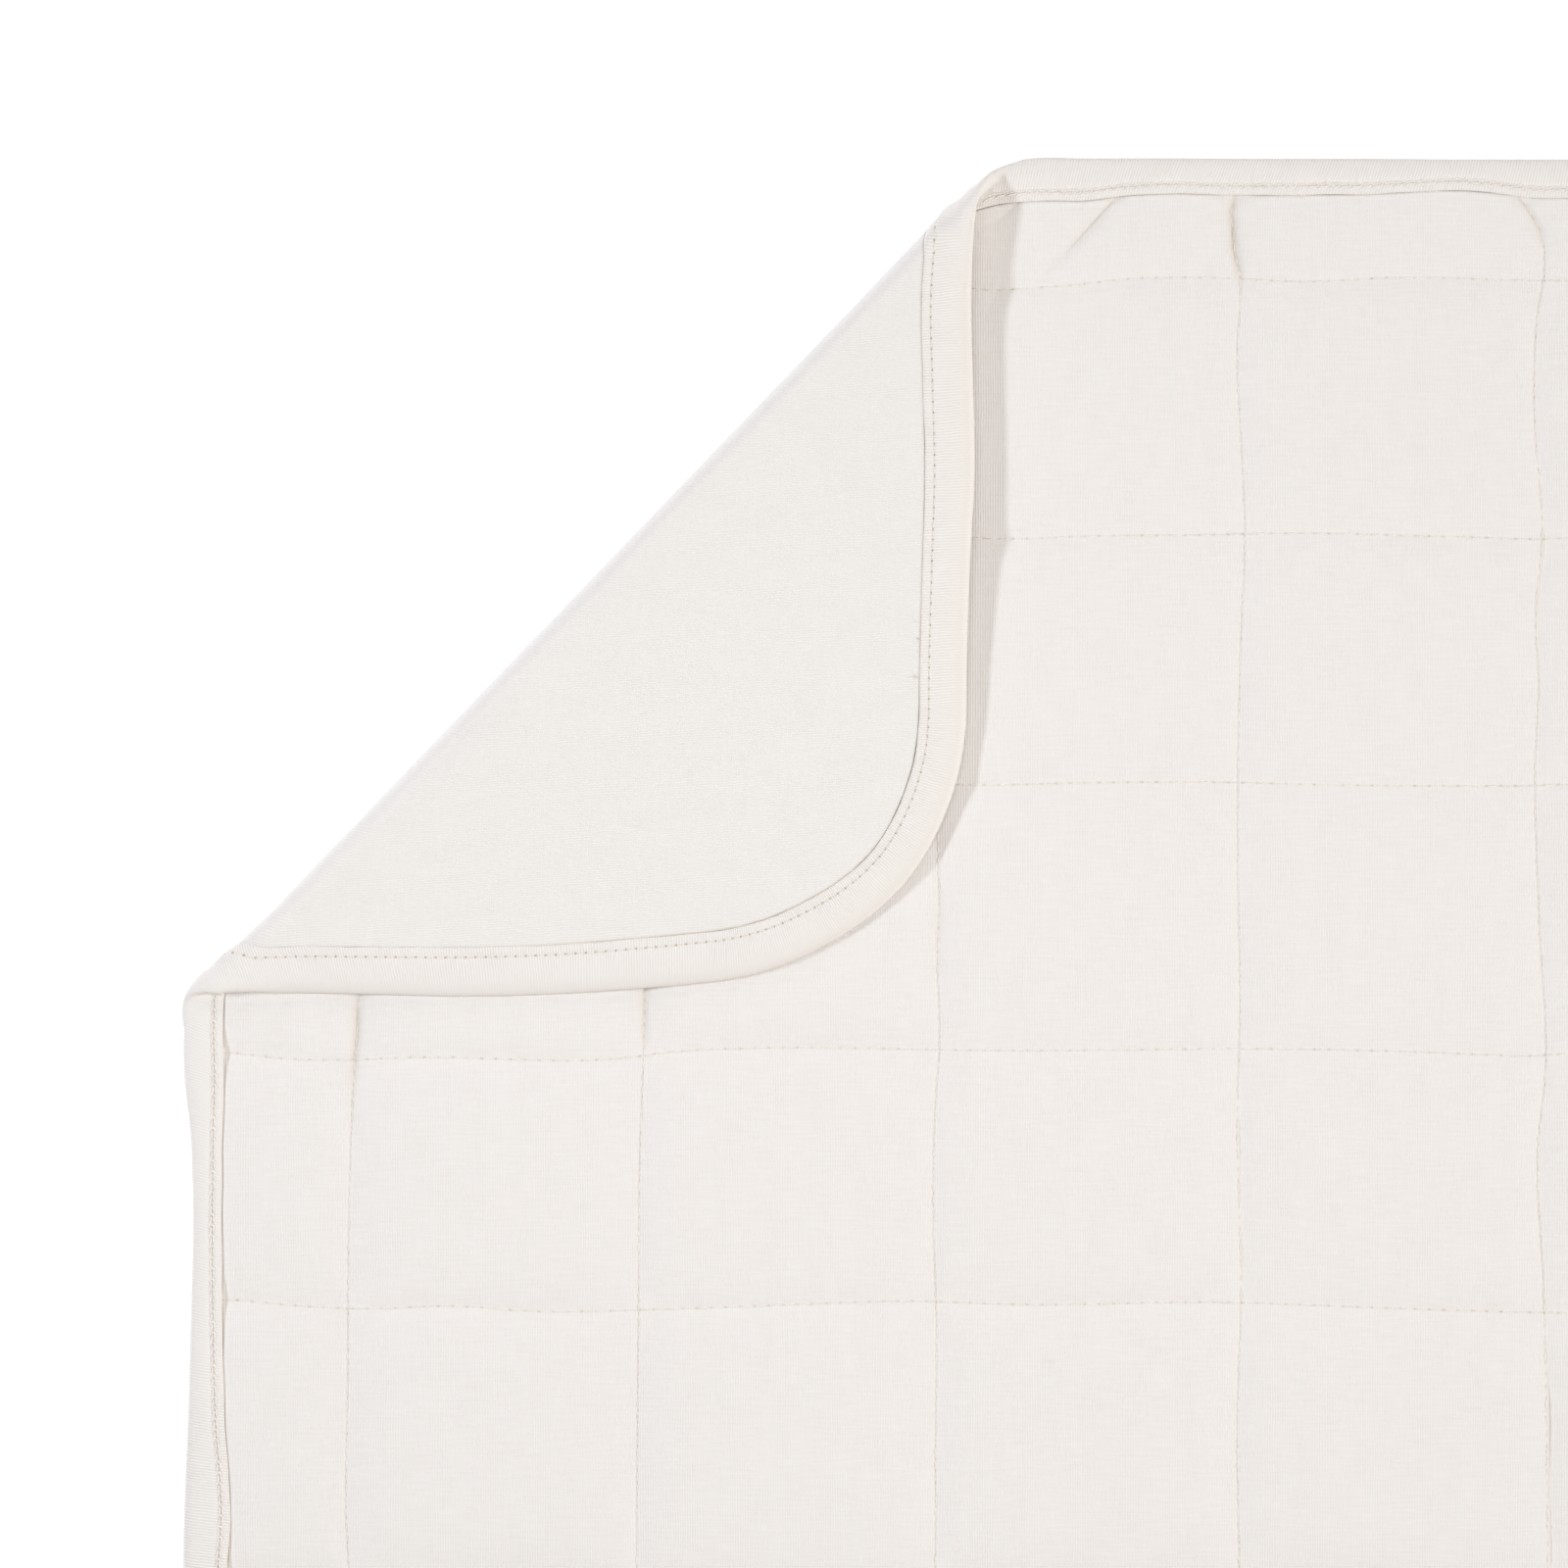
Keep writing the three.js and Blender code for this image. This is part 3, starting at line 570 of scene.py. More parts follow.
WANDER_SHIFT = 3

SEAM_TOP = 2.1
PUFF = 1.2
PUFF_REACH = 5.2
SEAM_ROUND = 0.6
GROOVE = 0.03
GROOVE_WIDTH = 0.4
HEM_TOP = 2.3
FRONT_HEM_UNDER = 1.8
FRONT_UNDER = 1.2

# Places where an upright seam is pinched to a fold: its number, the middle and half length of the
# pinch, its depth and how far it reaches to the sides
PINCHES = [
    (3, 479, 12, 1.5, 0.6), (4, 484, 7, 0.9, 0.6), (0, 263, 13, 1.2, 0.6), (1, 271, 9, 0.9, 0.6),
    (2, 292, 9, 0.4, 0.6),
]
LEAST_THICK = 0.25

# Places where the cloth hangs lower right of an upright seam and rises left of it: the seam's number,
# the middle and half length, how far down and how far it reaches right, how far up and its reach left
SAGS = [(4, 150, 33, 0.7, 5, 0.5, 7), (3, 222, 30, 0.35, 7, 0.25, 8), (4, 395, 24, 0.3, 6, 0.2, 8)]

# Creases: from, to, depth, how far they reach to the left and the right of that line, and how deep
# the sharp fold at their bottom is
CREASES = [
    ((-123.9, 488.4), (-141.8, 468.5), 0.8, 2.0, 4.0, 0.5),
    ((-149.5, 488.0), (-157.5, 481.0), 0.35, 1.2, 1.8, 0.15),
    ((-155.5, 463.0), (-159.5, 455.5), 0.15, 1.4, 1.6, 0.0),
    ((-131.0, 489.0), (-134.5, 484.0), 0.25, 1.2, 1.4, 0.1),
    ((-115.8, 490.5), (-117.6, 486.3), 0.25, 1.0, 1.4, 0.1),
    ((-74.0, 490.0), (-70.2, 485.6), 0.25, 1.2, 1.2, 0.1),
]
SHARP_FOLD = 0.45


def seam_place(seams, bends, number, other):
    """Where a quilted seam runs at places along it."""
    base = np.array(seams)[number]
    place = base + WANDER * np.sin(2 * math.pi * (other + base * WANDER_SHIFT) / WANDER_PITCH)
    for seam, rows in bends.items():
        mine = number == seam
        at, off = np.array(rows, float).T
        beyond = np.maximum(at[0] - other[mine], other[mine] - at[-1])
        bent = base[mine] + smooth_read(at, off, other[mine])
        place[mine] = bent + (place[mine] - bent) * soft_step(beyond / BEND_END)
    return place


def upright_place(number, y):
    """x of an upright seam at y."""
    return seam_place(UPRIGHT_SEAMS, UPRIGHT_BENDS, *np.broadcast_arrays(number, y))


def cross_place(number, x):
    """y of a cross seam at x."""
    return seam_place(CROSS_SEAMS, CROSS_BENDS, *np.broadcast_arrays(number, x))


def nearest(place_of, count, where, other):
    """The nearest seam to each point: its number, and the signed distance across to it."""
    gaps = np.stack([where - place_of(np.full(where.shape, k), other) for k in range(count)])
    number = np.abs(gaps).argmin(0)
    return number, np.take_along_axis(gaps, number[None], 0)[0]


def crease_depth(x, y, crease):
    """How far a crease draws the cloth down at each point."""
    (x0, y0), (x1, y1), depth, left, right, sharp = crease
    length = math.hypot(x1 - x0, y1 - y0)
    run = ((x - x0) * (x1 - x0) + (y - y0) * (y1 - y0)) / length
    side = ((x - x0) * (y1 - y0) - (y - y0) * (x1 - x0)) / length
    width = np.where(side > 0, left, right)
    fade = np.clip(1.3 - run / length, 0, 1) * (run > -3) * (run < 1.3 * length)
    folded = fade * sharp * np.exp(-((side / SHARP_FOLD) ** 2))
    return fade * depth * np.exp(-np.abs(side) / width) + folded, folded


def pinch_depth(x, y, pinch):
    """How far a pinch draws a seam down at each point."""
    seam, middle, span, down, reach = pinch
    side = np.abs(x - upright_place(seam, y))
    return down * np.exp(-side / reach) * np.exp(-(((y - middle) / span) ** 4))


def front_under(clear):
    """Level of the front panel's under face, from how far it is clear of the binding's lip."""
    tucked = np.clip((clear + FRONT_LIP - BACK_LIP - 0.5) / 3, 0, 1)
    return FRONT_HEM_UNDER + (FRONT_UNDER - FRONT_HEM_UNDER) * tucked


def quilt_level(x, y):
    """Level of the front panel's face over the floor while the cloth lies flat, in millimetres."""
    upright_number, beside = nearest(upright_place, len(UPRIGHT_SEAMS), x, y)
    cross_number, above = nearest(cross_place, len(CROSS_SEAMS), y, x)
    swell = 1 + 0.16 * np.sin(y / 4.6 + 2.1 * upright_number + 0.6 * np.sin(y / 9))
    reach_x = PUFF_REACH * (1 + 0.25 * np.sin(y / 13 + upright_number))
    reach_y = PUFF_REACH * 0.8 * (1 + 0.25 * np.sin(x / 15 + 1.7 * cross_number))
    puff_x = 1 - np.exp(-(np.hypot(beside, SEAM_ROUND) - SEAM_ROUND) / reach_x)
    puff_y = 1 - np.exp(-(np.hypot(above, SEAM_ROUND) - SEAM_ROUND) / reach_y)
    puckers = 1 + 0.5 * (swell - 1) * np.exp(-np.abs(beside) / 7)
    billow = 0.10 * np.sin(x / 29 + 1.3 * np.sin(y / 47)) * np.sin(y / 33 + 0.8)
    level = SEAM_TOP + PUFF * puff_x * puff_y * puckers + billow * puff_x * puff_y
    level = level - GROOVE * np.exp(-((beside / GROOVE_WIDTH) ** 2))
    level = level - GROOVE * 0.8 * np.exp(-((above / GROOVE_WIDTH) ** 2))

    for seam, middle, span, down, right, up, left in SAGS:
        side = x - upright_place(seam, y)
        sag = np.where(side > 0, -down * np.exp(-np.abs(side) / right), up * np.exp(-np.abs(side) / left))
        level = level + sag * np.exp(-(((y - middle) / span) ** 4)) * (0.7 + 0.3 * np.sin(y / 6))
    for pinch in PINCHES:
        level = level - pinch_depth(x, y, pinch)
    for crease in CREASES:
        level = level - crease_depth(x, y, crease)[0]

    along, depth = edge_place(x, y)
    clear = depth - read_edge("row", along) - FRONT_LIP
    tuck = np.clip((clear + 0.2) / 0.3, 0, 1)
    rise = 1 - np.exp(-np.maximum(clear, 0) / 1.6)
    ripple = 0.08 * np.sin(along / 2.6 + 1.5 * np.sin(along / 17)) * np.exp(-np.maximum(clear, 0) / 5)
    free = tuck * (0.72 + 0.28 * rise)
    return np.maximum(HEM_TOP + (level - HEM_TOP) * free + ripple * tuck, front_under(clear) + LEAST_THICK)


SEAM_LINES = (0.4, 1.0, 2.1, 4.4, 8.0)
FRONT_LINES = (-0.2, -0.05, 0.1, 0.6, 1.4, 2.6, 4.5)
FRONT_ROLL_STEPS = 8
OPEN_STEP = 8.5
BORDER_STEP = 5.5
BEYOND_EDGE = 4


def quilt_lines(seams, half):
    """Lines of the mesh beside and between the seams: their places, and which seams they go with."""
    bases = sorted(seams)
    order = [seams.index(base) for base in bases]
    lines = []
    for number, base in zip(order, bases):
        lines += [(base + side * offset, number, number, 0) for side in (-1, 1) for offset in SEAM_LINES]
        lines.append((base, number, number, 0))
    gaps = [(-half - BEYOND_EDGE, bases[0] - SEAM_LINES[-1], order[0], order[0], BORDER_STEP)]
    gaps += [
        (low + SEAM_LINES[-1], high - SEAM_LINES[-1], before, after, OPEN_STEP)
        for low, high, before, after in zip(bases, bases[1:], order, order[1:])
    ]
    gaps.append((bases[-1] + SEAM_LINES[-1], half + BEYOND_EDGE, order[-1], order[-1], BORDER_STEP))
    for low, high, before, after, step in gaps:
        steps = round((high - low) / step)
        shares = np.arange(steps + 1) / steps
        inner = shares[(shares > 0) | (low < -half)]
        inner = inner[(inner < 1) | (high > half)]
        lines += [(low + (high - low) * share, before, after, share) for share in inner]
    lines.sort()
    place, before, after, share = np.array(lines).T
    return place, before.astype(int), after.astype(int), share


def bent_lines(seams, lines, place_of, other):
    """Where those lines run at places along them, kept beside their wandering seams."""
    place, before, after, share = lines
    bases = np.array(seams)
    shift_before = place_of(before, other) - bases[before]
    shift_after = place_of(after, other) - bases[after]
    return place + shift_before * (1 - share) + shift_after * share


upright_lines = quilt_lines(UPRIGHT_SEAMS, HALF_W)
cross_lines = [part[:, None] for part in quilt_lines(CROSS_SEAMS, HALF_L)]
grid_x, grid_y = np.meshgrid(upright_lines[0], cross_lines[0][:, 0])
for _ in range(3):
    grid_y = bent_lines(CROSS_SEAMS, cross_lines, cross_place, grid_x)
    grid_x = bent_lines(UPRIGHT_SEAMS, upright_lines, upright_place, grid_y)
points, faces = line_cloth(grid_x, grid_y)

for crease in CREASES:
    (x0, y0), (x1, y1), _, left, right, _ = crease
    length = math.hypot(x1 - x0, y1 - y0)
    middle_x, middle_y = (x0 + x1) / 2, (y0 + y1) / 2
    for offset in (-1.6 * right, -0.7 * right, -SHARP_FOLD, 0, SHARP_FOLD, 0.7 * left, 1.6 * left):
        corner = points[faces[:, 0]]
        near = np.hypot(corner[:, 0] - middle_x, corner[:, 1] - middle_y) < length * 0.75 + 3
        side = ((points[:, 0] - x0) * (y1 - y0) - (points[:, 1] - y0) * (x1 - x0)) / length
        points, faces = cut_cloth(points, faces, side - offset, reach=near)
points, faces = cut_by_edge(points, faces, FRONT_LIP, FRONT_LINES, HEM_LINE)
points, faces = cut_by_fold(points, faces, FRONT_ROLL_STEPS)
x, y = points.T
along, depth = edge_place(x, y)
clear = depth - read_edge("row", along) - FRONT_LIP
sunk = edge_sink(x, y, depth)
over = quilt_level(x, y) + sunk
under = front_under(clear) + sunk

UPRIGHT_PITCH = 3.25
CROSS_PITCH = 3.87
QUILTED_JERSEY = (0.880, 0.842, 0.806)
quilted_jersey, nodes = new_material("quilted_jersey")
relief, tone = jersey_relief(nodes, 0.052, 0.030)

# The needle's holes, and the longer dip of cloth that each stitch pulls down between them: both sunk a little
# in the relief, and darkened in the colour as painted shade
upright_holes = needle_holes(nodes, "upright_rows", 0.00018, 0.00070, UPRIGHT_PITCH * MM)
upright_dip = needle_holes(nodes, "upright_rows", 0.00025, 0.0018, UPRIGHT_PITCH * MM)
cross_holes = needle_holes(nodes, "cross_rows", 0.00026, 0.00040, CROSS_PITCH * MM)
cross_dip = needle_holes(nodes, "cross_rows", 0.00030, 0.0020, CROSS_PITCH * MM)
dips = sums(nodes, "MULTIPLY_ADD", cross_dip, 0.35, sums(nodes, "MULTIPLY", upright_dip, 0.12))
holes = sums(nodes, "MULTIPLY_ADD", cross_holes, 0.8, sums(nodes, "ADD", upright_holes, dips))
place, _, _ = measures(nodes, "knit")
holes = sums(nodes, "MULTIPLY", holes, sums(nodes, "MULTIPLY_ADD", streaks(nodes, place, 240, 240), 1.0, 0.8))

# In a pinched seam or a sharp crease the holes are shut in, and the fold itself gets painted shade
_, creased, _ = measures(nodes, "creased")
open_cloth = sums(nodes, "MAXIMUM", sums(nodes, "MULTIPLY_ADD", creased, -0.75, 1.0), 0.15)
holes = sums(nodes, "MULTIPLY", holes, open_cloth)
relief = sums(nodes, "MULTIPLY_ADD", holes, -2.0, relief)
# Painted shade in the needle holes and the stitch dips
tone = sums(nodes, "MULTIPLY_ADD", holes, -0.27, tone)
# A little painted shade where the front goes in under the binding's lip
tone = sums(nodes, "MULTIPLY_ADD", border_shade(nodes), -0.06, tone)
# Painted shade in the pinches and sharp creases
tone = sums(nodes, "MULTIPLY_ADD", creased, -0.22, tone)
finish_cloth(nodes, QUILTED_JERSEY, tone, relief, KNIT_DEPTH, JERSEY_FUZZ)

# On the front the painted shade under the lip is at full strength all round
gap = np.ones_like(clear)
front_panel = cloth_piece("quilted_front", points, faces, under, over, clear, gap, quilted_jersey)
corners, owner = corner_points(front_panel.data)
flat_x, flat_y = x[corners % len(points)], y[corners % len(points)]
counted = np.bincount(owner)
centre_x = np.bincount(owner, flat_x) / counted
centre_y = np.bincount(owner, flat_y) / counted
upright_number, _ = nearest(upright_place, len(UPRIGHT_SEAMS), centre_x, centre_y)
cross_number, _ = nearest(cross_place, len(CROSS_SEAMS), centre_y, centre_x)
beside = flat_x - upright_place(upright_number[owner], flat_y)
above = flat_y - cross_place(cross_number[owner], flat_x)
# How far the pinches and sharp folds draw the cloth down, which also sets their painted shade
creased = sum(pinch_depth(x, y, pinch) for pinch in PINCHES)
creased = (creased + sum(crease_depth(x, y, crease)[1] for crease in CREASES))[corners % len(points)]
map_cloth(front_panel.data, "creased", creased, creased)
map_cloth(front_panel.data, "upright_rows", beside * MM, flat_y / UPRIGHT_PITCH)
map_cloth(front_panel.data, "cross_rows", above * MM, flat_x / CROSS_PITCH)
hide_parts("front_panel")


# Quilting thread. Fine two-ply cotton in a lockstitch: each stitch lies in the valley of its seam
# and goes down through the cloth at both ends. One piece for the upright seams, one for the cross.
QUILT_THREAD = 0.15
THREAD_SIDES = 5


def thread_mesh(name, paths, radius, sides, material, closed=False, place=fold):
    """Short lengths of thread as one mesh. paths: length, point, and the place in the flat cloth."""
    count, steps, _ = paths.shape
    ahead = np.roll(paths, -1, 1) - np.roll(paths, 1, 1)
    if not closed:
        ahead[:, 0] = paths[:, 1] - paths[:, 0]
        ahead[:, -1] = paths[:, -1] - paths[:, -2]
    ahead = ahead / np.linalg.norm(ahead, axis=2, keepdims=True)
    across = np.stack([-ahead[..., 1], ahead[..., 0], np.zeros((count, steps))], -1)
    across = across / np.maximum(np.linalg.norm(across, axis=2, keepdims=True), 1e-9)
    upward = np.cross(ahead, across)
    angle = 2 * math.pi * np.arange(sides) / sides
    ring = across[:, :, None] * np.cos(angle)[:, None] + upward[:, :, None] * np.sin(angle)[:, None]
    tube = paths[:, :, None] + ring * radius
    placed = place(tube[..., 0], tube[..., 1], tube[..., 2]).reshape(-1, 3)
    number = np.arange(count * steps * sides).reshape(count, steps, sides)
    last = steps if closed else steps - 1
    here = number[:, :last]
    following = np.roll(number, -1, 1)[:, :last]
    quads = np.stack([here, following, np.roll(following, -1, 2), np.roll(here, -1, 2)], -1)
    faces = quads.reshape(-1, 4)[:, ::-1].tolist()
    if not closed:
        faces += number[:, 0].tolist() + number[:, -1, ::-1].tolist()
    piece = shown_mesh(name, placed, faces, material)
    corners, _ = corner_points(piece.data)
    around = corners % sides
    map_cloth(piece.data, "twist", around / sides, corners // sides % steps / steps)
    return piece


THREAD = (0.91, 0.862, 0.805)
cotton_thread, nodes = new_material("cotton_thread")
_, around, length = measures(nodes, "twist")
turns = sums(nodes, "MULTIPLY_ADD", length, 28.0, sums(nodes, "MULTIPLY", around, 2 * math.pi))
ply = sums(nodes, "SINE", turns)
# Faint painted shade in the grooves between the plies, painted light on their crowns
tone = sums(nodes, "MULTIPLY_ADD", ply, 0.03, 1.0)
finish_cloth(nodes, THREAD, tone, ply, 0.00004, 0.2)

# A stitch from hole to hole: share of the way, and height over the bottom of the seam
STITCH_SHAPE = np.array([(0.10, -0.35), (0.20, 0.00), (0.5, 0.10), (0.80, 0.00), (0.90, -0.35)])


def stitches(low, high, pitch, across_place):
    """Places along a seam for the points of each of its stitches: along, across and height."""
    first = math.ceil(low / pitch)
    last = math.floor(high / pitch)
    hole = np.arange(first, last) * pitch
    at = hole[:, None] + STITCH_SHAPE[:, 0] * pitch
    across = across_place(at) + 0.12 * np.sin(at * 7.3)
    return at, across, np.broadcast_to(STITCH_SHAPE[:, 1], at.shape)


def seam_stitches(place_of, count, half, pitch, upright):
    """All the stitches of the upright or the cross seams, as points of the flat cloth."""
    paths = []
    for number in range(count):
        at, across, height = stitches(-half, half, pitch, lambda o: place_of(np.full(o.shape, number), o))
        x, y = (across, at) if upright else (at, across)
        along, depth = edge_place(x, y)
        shows = (depth - read_edge("row", along) > FRONT_LIP + 0.5).all(1)
        x, y, height = x[shows], y[shows], height[shows]
        paths.append(np.stack([x, y, quilt_level(x, y) + height], -1))
    return np.vstack(paths)


upright_paths = seam_stitches(upright_place, len(UPRIGHT_SEAMS), HALF_L, UPRIGHT_PITCH, True)
cross_paths = seam_stitches(cross_place, len(CROSS_SEAMS), HALF_W, CROSS_PITCH, False)
upright_stitches = thread_mesh("upright_stitches", upright_paths, QUILT_THREAD, THREAD_SIDES, cotton_thread)
cross_stitches = thread_mesh("cross_stitches", cross_paths, QUILT_THREAD, THREAD_SIDES, cotton_thread)


# Binding. A strip of ribbed jersey folded over the edge all round, wider on the back than on the
# front, its raw edges turned in. It is held by one row of chain stitch through both legs, which
# draws it in to a dip, and stands up a little as a lip beside the panels.
SPINE = 2.2
BINDING_STEP = 1.45
ROW_PITCH = 2.9
WAVER = 0.09
WAVER_UP = 0.03
FRONT_LEG_UNDER = 2.6
BACK_LEG_TOP = 0.7

# Its cross-section, from the back leg's inner edge round the blanket's edge to the front leg's:
# measured from which line, how far in from it, and the level. dimple is how far a stitch draws it in.
BINDING_SECTION = [
    ("back", 0.0, 0.11, 0), ("back", -0.12, -0.02, 0), ("back", -0.5, -0.12, 0), ("back", -1.3, -0.12, 0),
    ("row", 0.8, 0.0, 0.0), ("row", 0.35, 0.03, 0.04), ("row", 0.0, 0.07, 0.10), ("row", -0.35, 0.03, 0.04),
    ("row", -1.0, 0.0, 0), ("edge", 4.4, 0.0, 0), ("edge", 3.0, 0.05, 0), ("edge", 1.8, 0.18, 0),
    ("edge", 0.9, 0.42, 0), ("edge", 0.3, 0.85, 0), ("edge", 0.0, 1.50, 0), ("edge", 0.3, 2.15, 0),
    ("edge", 0.9, 2.62, 0), ("edge", 1.8, 2.98, 0), ("edge", 3.0, 3.28, 0), ("edge", 4.2, 3.48, 0),
    ("row", -1.8, 3.58, 0), ("row", -1.0, 3.48, -0.03), ("row", 0.0, 3.30, -0.03),
    ("row", 0.95, 3.50, -0.03), ("front", -0.9, 3.56, 0), ("front", -0.4, 3.50, 0),
    ("front", -0.08, 3.28, 0), ("front", 0.0, 3.02, 0), ("front", -0.2, 2.62, 0),
    ("edge", SPINE, FRONT_LEG_UNDER, 0),
    ("edge", SPINE, BACK_LEG_TOP, 0), ("back", -1.1, BACK_LEG_TOP, 0), ("back", -0.6, 0.58, 0),
    ("back", -0.15, 0.28, 0),
]

# Where the row lies close to the edge, the turn of the strip round the edge is narrowed to make room
ROUNDED = 4.4
BEND_ROOM = 2.3

# Spans along the edge where the strip bends round the fold, with stations twice as close
FOLD_SPANS = [(140, 200), (530, 600)]

# No part of the binding sinks lower than this
MOST_SUNK = 3.9

# The first and last points of the cross-section that show on the front
FRONT_SPOTS = (14, 28)

stations = []
place = 0.0
while place < OUTLINE - BINDING_STEP / 2:
    stations.append(place)
    close = any(low < place < high for low, high in FOLD_SPANS)
    place += BINDING_STEP / 2 if close else BINDING_STEP
stations = np.array(stations)
row = read_edge("row", stations)
lines = {"edge": np.zeros_like(stations), "row": row, "front": row + FRONT_LIP, "back": row + BACK_LIP}
at_hole = 0.5 + 0.5 * np.cos(2 * math.pi * stations / ROW_PITCH)
waver = 0.5 * np.sin(stations / 5.3 + np.sin(stations / 13)) + 0.5 * np.sin(stations / 2.9 + 1)
depths, levels = [], []
narrowed = np.minimum((row - BEND_ROOM) / ROUNDED, 1)
for line, inwards, level, dimple in BINDING_SECTION:
    inwards = inwards * narrowed if line == "edge" else inwards
    depths.append(lines[line] + inwards + WAVER * waver * (line != "edge" or level < 0.1))
    levels.append(level + dimple * at_hole + WAVER_UP * waver * (0.1 < level < 3.7))
depths, levels = np.array(depths).T, np.array(levels).T
around_x, around_y = from_edge(stations[:, None] + np.zeros_like(depths), depths)
beyond = distance_out(around_x, around_y)
levels = np.where(beyond > ROLL / 3, levels, np.maximum(levels, 0))
levels = np.minimum(levels + edge_sink(around_x, around_y, depths), MOST_SUNK)
placed = fold(around_x, around_y, levels)
tall, wide = levels.shape
number = np.arange(tall * wide).reshape(tall, wide)
ahead = np.roll(number, -1, 0)
quads = np.stack([number, ahead, np.roll(ahead, -1, 1), np.roll(number, -1, 1)], -1)

# How the ribs of the strip lean where it was stretched on, along the edge
SLANT_AT = np.array([0, 60, 110, 150, 200, 300, 420, 470, 520, 560, 700, 1200, 1900, 2600, 3200, 3376], float)
SLANT_OF = -np.array([0.2, 0.36, 0.38, 0.18, 0, 0, 0.05, 0.1, 0.25, 0.4, 0.1, 0.2, -0.1, 0.15, 0.1, 0.12])

RIB_PITCH = 0.000766
RIB_DEPTH = 0.00005

# Where the open middle of each chain loop is, as a share of the pitch past its hole
LOOP_MIDDLE = 0.62

# How strong the painted shade in the gaps of the chain loops is, as a share of the painted shade in the
# needle holes on the back
FRONT_LOOP_SHADE = 0.3
BINDING_JERSEY = (0.884, 0.842, 0.796)
binding_jersey, nodes = new_material("binding_jersey")
place, ribs, across = measures(nodes, "ribs")
drift = sums(nodes, "MULTIPLY", streaks(nodes, place, 60, 60), 0.0007)
rib = sums(nodes, "COSINE", sums(nodes, "MULTIPLY", sums(nodes, "ADD", ribs, drift), 2 * math.pi / RIB_PITCH))
slub = streaks(nodes, place, 1700, 260, 3.0)
patchy = sums(nodes, "MULTIPLY_ADD", streaks(nodes, place, 110, 220), 0.5, 0.8)
holes = needle_holes(nodes, "row", 0.00024, 0.00038, ROW_PITCH * MM)
_, strength, hole_strength = measures(nodes, "rib_strength")
holes = sums(nodes, "MULTIPLY", holes, hole_strength)
rib = sums(nodes, "MULTIPLY", rib, sums(nodes, "MULTIPLY", patchy, strength))
relief = sums(nodes, "MULTIPLY_ADD", slub, 0.5, rib)
relief = sums(nodes, "MULTIPLY_ADD", holes, -3.0, relief)
tone = sums(nodes, "MULTIPLY_ADD", slub, 0.015, 1.0)
# Painted shade in the hollows between the ribs, painted light on their crowns
tone = sums(nodes, "MULTIPLY_ADD", rib, 0.105, tone)
# Painted shade in the row's needle holes on the back, and in the gaps between the chain's loops on the front
tone = sums(nodes, "MULTIPLY_ADD", holes, -0.55, tone)
finish_cloth(nodes, BINDING_JERSEY, tone, relief, RIB_DEPTH, JERSEY_FUZZ)

binding = shown_mesh("edge_binding", placed.reshape(-1, 3), quads.reshape(-1, 4).tolist(), binding_jersey)
corners, owner = corner_points(binding.data)
station, spot = corners // wide, corners % wide
past_seam = (owner // wide == tall - 1) & (station == 0)
along = stations[station] + np.where(past_seam, OUTLINE, 0)
depth = depths[station, spot]
lean = np.interp(along, SLANT_AT, SLANT_OF)
map_cloth(binding.data, "ribs", (along + lean * depth) * MM, depth * MM)
on_front = (spot >= FRONT_SPOTS[0]) & (spot <= FRONT_SPOTS[1])
map_cloth(binding.data, "row", (depth - row[station]) * MM, along / ROW_PITCH - LOOP_MIDDLE * on_front)

# The ribs are faint by the left end of the fold, and on the back where the strip turns in to its edge
smooth_front = 1 - 0.6 * soft_step((along - 560) / 20) * soft_step((690 - along) / 30)
strength = np.where(on_front, 0.9 * smooth_front, 0.25 + 0.7 * soft_step((depth - SPINE) / 4))
map_cloth(binding.data, "rib_strength", strength, np.where(on_front, FRONT_LOOP_SHADE, 1.0))
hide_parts("binding")


# The binding's stitch row. One row of chain stitch sewn from the back: there it shows as single
# short stitches, and on the front as a chain of loops, each caught in the next.
ROW_THREAD = 0.16
CHAIN_THREAD = 0.26
NEEDLE_LEVEL = 0.12
CHAIN_LEVEL = 3.26
CHAIN_WIDTH = 0.94

holes_along = np.arange(round(OUTLINE / ROW_PITCH)) * OUTLINE / round(OUTLINE / ROW_PITCH)
at = holes_along[:, None] + STITCH_SHAPE[:, 0] * ROW_PITCH
needle_x, needle_y = from_edge(at, read_edge("row", at) + 0.05 * np.sin(at * 3.1))
needle_t = NEEDLE_LEVEL - STITCH_SHAPE[:, 1] * 0.8 + np.zeros_like(at)
needle_row = thread_mesh(
    "needle_row", np.stack([needle_x, needle_y, needle_t], -1), ROW_THREAD, THREAD_SIDES, cotton_thread
)

# One loop of the chain: share of the pitch, side, and height
LOOP_SHAPE = np.array([
    (-0.22, 0.0, -0.12), (-0.05, 0.34, 0.08), (0.2, 0.38, 0.22), (0.5, 0.60, 0.18), (0.82, 0.96, 0.10),
    (1.08, 0.82, 0.02), (1.24, 0.0, 0.00), (1.08, -0.82, 0.02), (0.82, -0.96, 0.10), (0.5, -0.60, 0.18),
    (0.2, -0.38, 0.22), (-0.05, -0.34, 0.08),
])
uneven = np.sin(holes_along * 1.7)[:, None]
at = holes_along[:, None] + LOOP_SHAPE[:, 0] * ROW_PITCH + 0.1 * uneven
side = LOOP_SHAPE[:, 1] * CHAIN_WIDTH * (1 + 0.12 * uneven) + 0.08 * np.cos(holes_along * 2.3)[:, None]
chain_x, chain_y = from_edge(at, read_edge("row", at) + side)
chain_t = CHAIN_LEVEL + LOOP_SHAPE[:, 2] + np.zeros_like(at)
chain_row = thread_mesh(
    "chain_row", np.stack([chain_x, chain_y, chain_t], -1), CHAIN_THREAD, 4, cotton_thread, closed=True
)


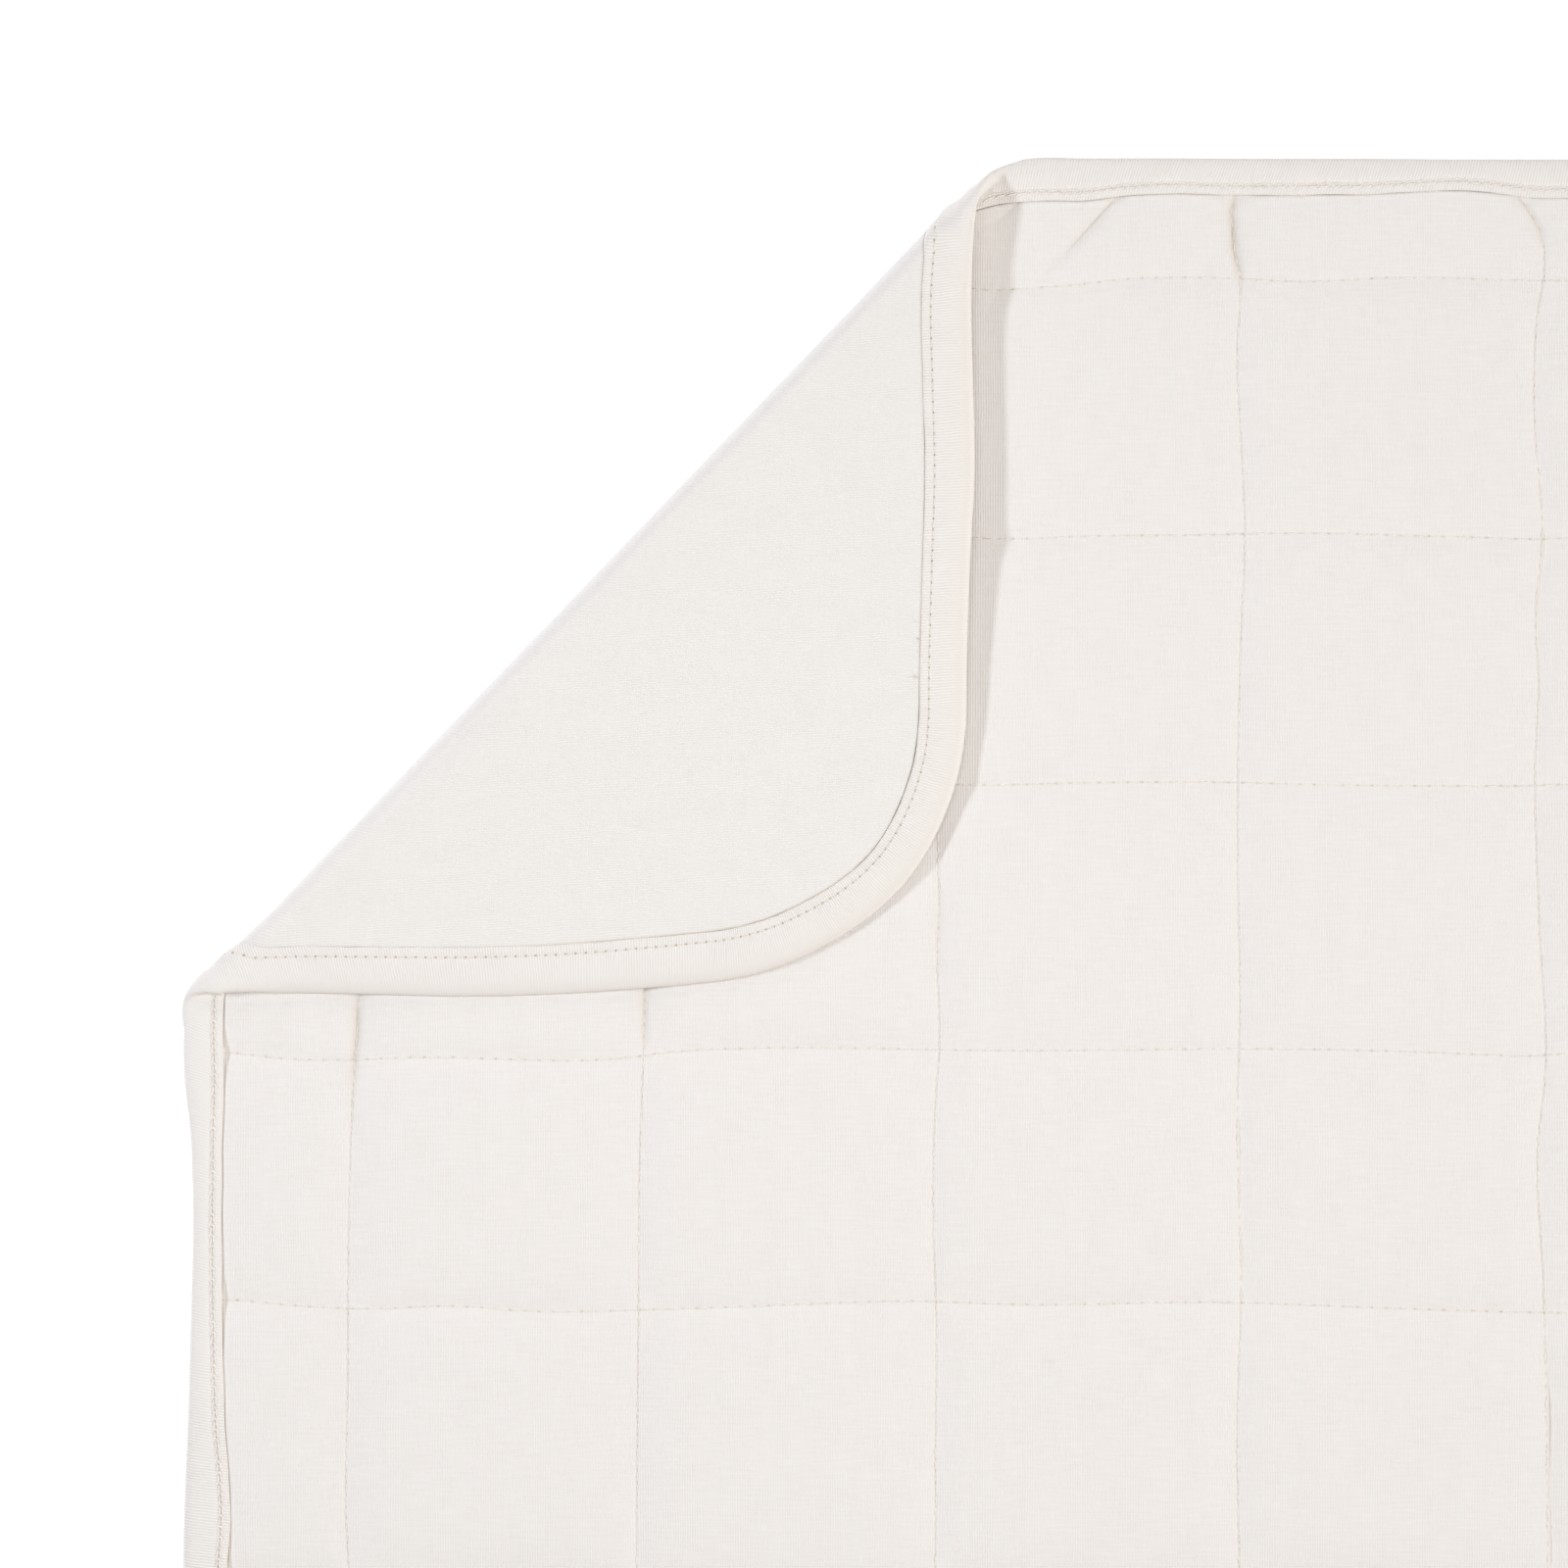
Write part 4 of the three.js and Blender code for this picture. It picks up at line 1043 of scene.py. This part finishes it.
# Frayed tufts. Three wisps of cut jersey fibre that stick out from under the binding's lip on the
# folded corner, where the raw edge was trimmed close. Each: its place over the floor, how many fibres.
TUFTS = [(-176.208, 375.656, 9), (-175.68, 370.904, 11), (-176.736, 360.344, 5)]
TUFT_HEIGHT = 9.6
WISP = 0.06

fibres = []
for root_x, root_y, count in TUFTS:
    for number in range(count):
        turn = math.pi + 0.9 * math.sin(number * 2.4)
        long = 0.7 + 0.5 * math.sin(number * 1.9) ** 2
        share = np.linspace(0, 1, 5)
        bend = turn + share * 1.4 * math.sin(number * 3.7)
        step_x = -0.2 + np.cos(bend) * share * long
        step_y = 0.5 * math.sin(number * 5.1) + np.sin(bend) * share * long
        up = TUFT_HEIGHT + 0.5 * share * (1 + math.sin(number * 1.3))
        fibres.append(np.stack([root_x + step_x, root_y + step_y, up], -1))


def as_it_lies(x, y, up):
    """Places over the floor, in metres."""
    return MM * np.stack([x, y, up], -1)


tufts = thread_mesh("frayed_tufts", np.array(fibres), WISP, 3, cotton_thread, place=as_it_lies)


# Floor and light. A pale sheet, and the soft light of a table set up for flat photographs: a low
# light from the left, broader ones from the right and the head end, and a weak one close above the
# folded corner, so that the light falls off a little towards the other side.
FLOOR_SIZE = 14
FLOOR_DROP = 0.0004
FLOOR_GLOW = 0.42
AIR_COLOUR = (1.0, 0.9, 0.77, 1)
AIR_STRENGTH = 0.2
floor_white, nodes = new_material("floor_white")
surface = add_node(nodes, "ShaderNodeBsdfPrincipled", {"Base Color": (0.82, 0.82, 0.82, 1), "Roughness": 0.9})
surface.inputs["Emission Color"].default_value = (1, 1, 1, 1)
surface.inputs["Emission Strength"].default_value = FLOOR_GLOW
ending = add_node(nodes, "ShaderNodeOutputMaterial")
nodes.links.new(surface.outputs[0], ending.inputs[0])
sheet_mesh = bpy.data.meshes.new("floor")
side = FLOOR_SIZE / 2
ways = ((-1, -1), (1, -1), (1, 1), (-1, 1))
floor_corners = [(side * across, side * ahead, -FLOOR_DROP) for across, ahead in ways]
sheet_mesh.from_pydata(floor_corners, [], [(0, 1, 2, 3)])
sheet_mesh.materials.append(floor_white)
floor = bpy.data.objects.new("floor", sheet_mesh)
bpy.context.scene.collection.objects.link(floor)


def soft_light(name, aim, turn, rise, distance, size, power, colour):
    """A square light that looks at a point, from a direction given in degrees."""
    light = bpy.data.lights.new(name, "AREA")
    light.shape = "RECTANGLE"
    light.size, light.size_y = size
    light.energy = power
    light.color = colour
    lamp = bpy.data.objects.new(name, light)
    lamp.visible_camera = False
    turn, rise = math.radians(turn), math.radians(rise)
    lamp.location = (
        aim[0] + distance * math.cos(rise) * math.cos(turn),
        aim[1] + distance * math.cos(rise) * math.sin(turn),
        distance * math.sin(rise),
    )
    lamp.rotation_euler = (math.pi / 2 - rise, 0, turn + math.pi / 2)
    bpy.context.scene.collection.objects.link(lamp)


SHOWN_MIDDLE = (-0.2, 0.3)
FLAP_MIDDLE = (-0.25, 0.29)
soft_light("left_light", SHOWN_MIDDLE, 172, 30, 2.4, (0.5, 0.18), 26.4, (0.91, 1.0, 1.12))
soft_light("right_light", SHOWN_MIDDLE, 342, 32, 2.6, (1.0, 0.7), 41.5, (0.985, 1.0, 1.0))
soft_light("head_light", SHOWN_MIDDLE, 90, 26, 2.6, (1.2, 0.9), 11.0, (1.0, 1.0, 1.06))
soft_light("top_fill", FLAP_MIDDLE, 90, 89.9, 0.6, (0.5, 0.5), 0.97, (1.03, 1.0, 1.02))
world = bpy.data.worlds.new("studio_air")
world.use_nodes = True
world.node_tree.nodes["Background"].inputs[0].default_value = AIR_COLOUR
world.node_tree.nodes["Background"].inputs[1].default_value = AIR_STRENGTH
bpy.context.scene.world = world
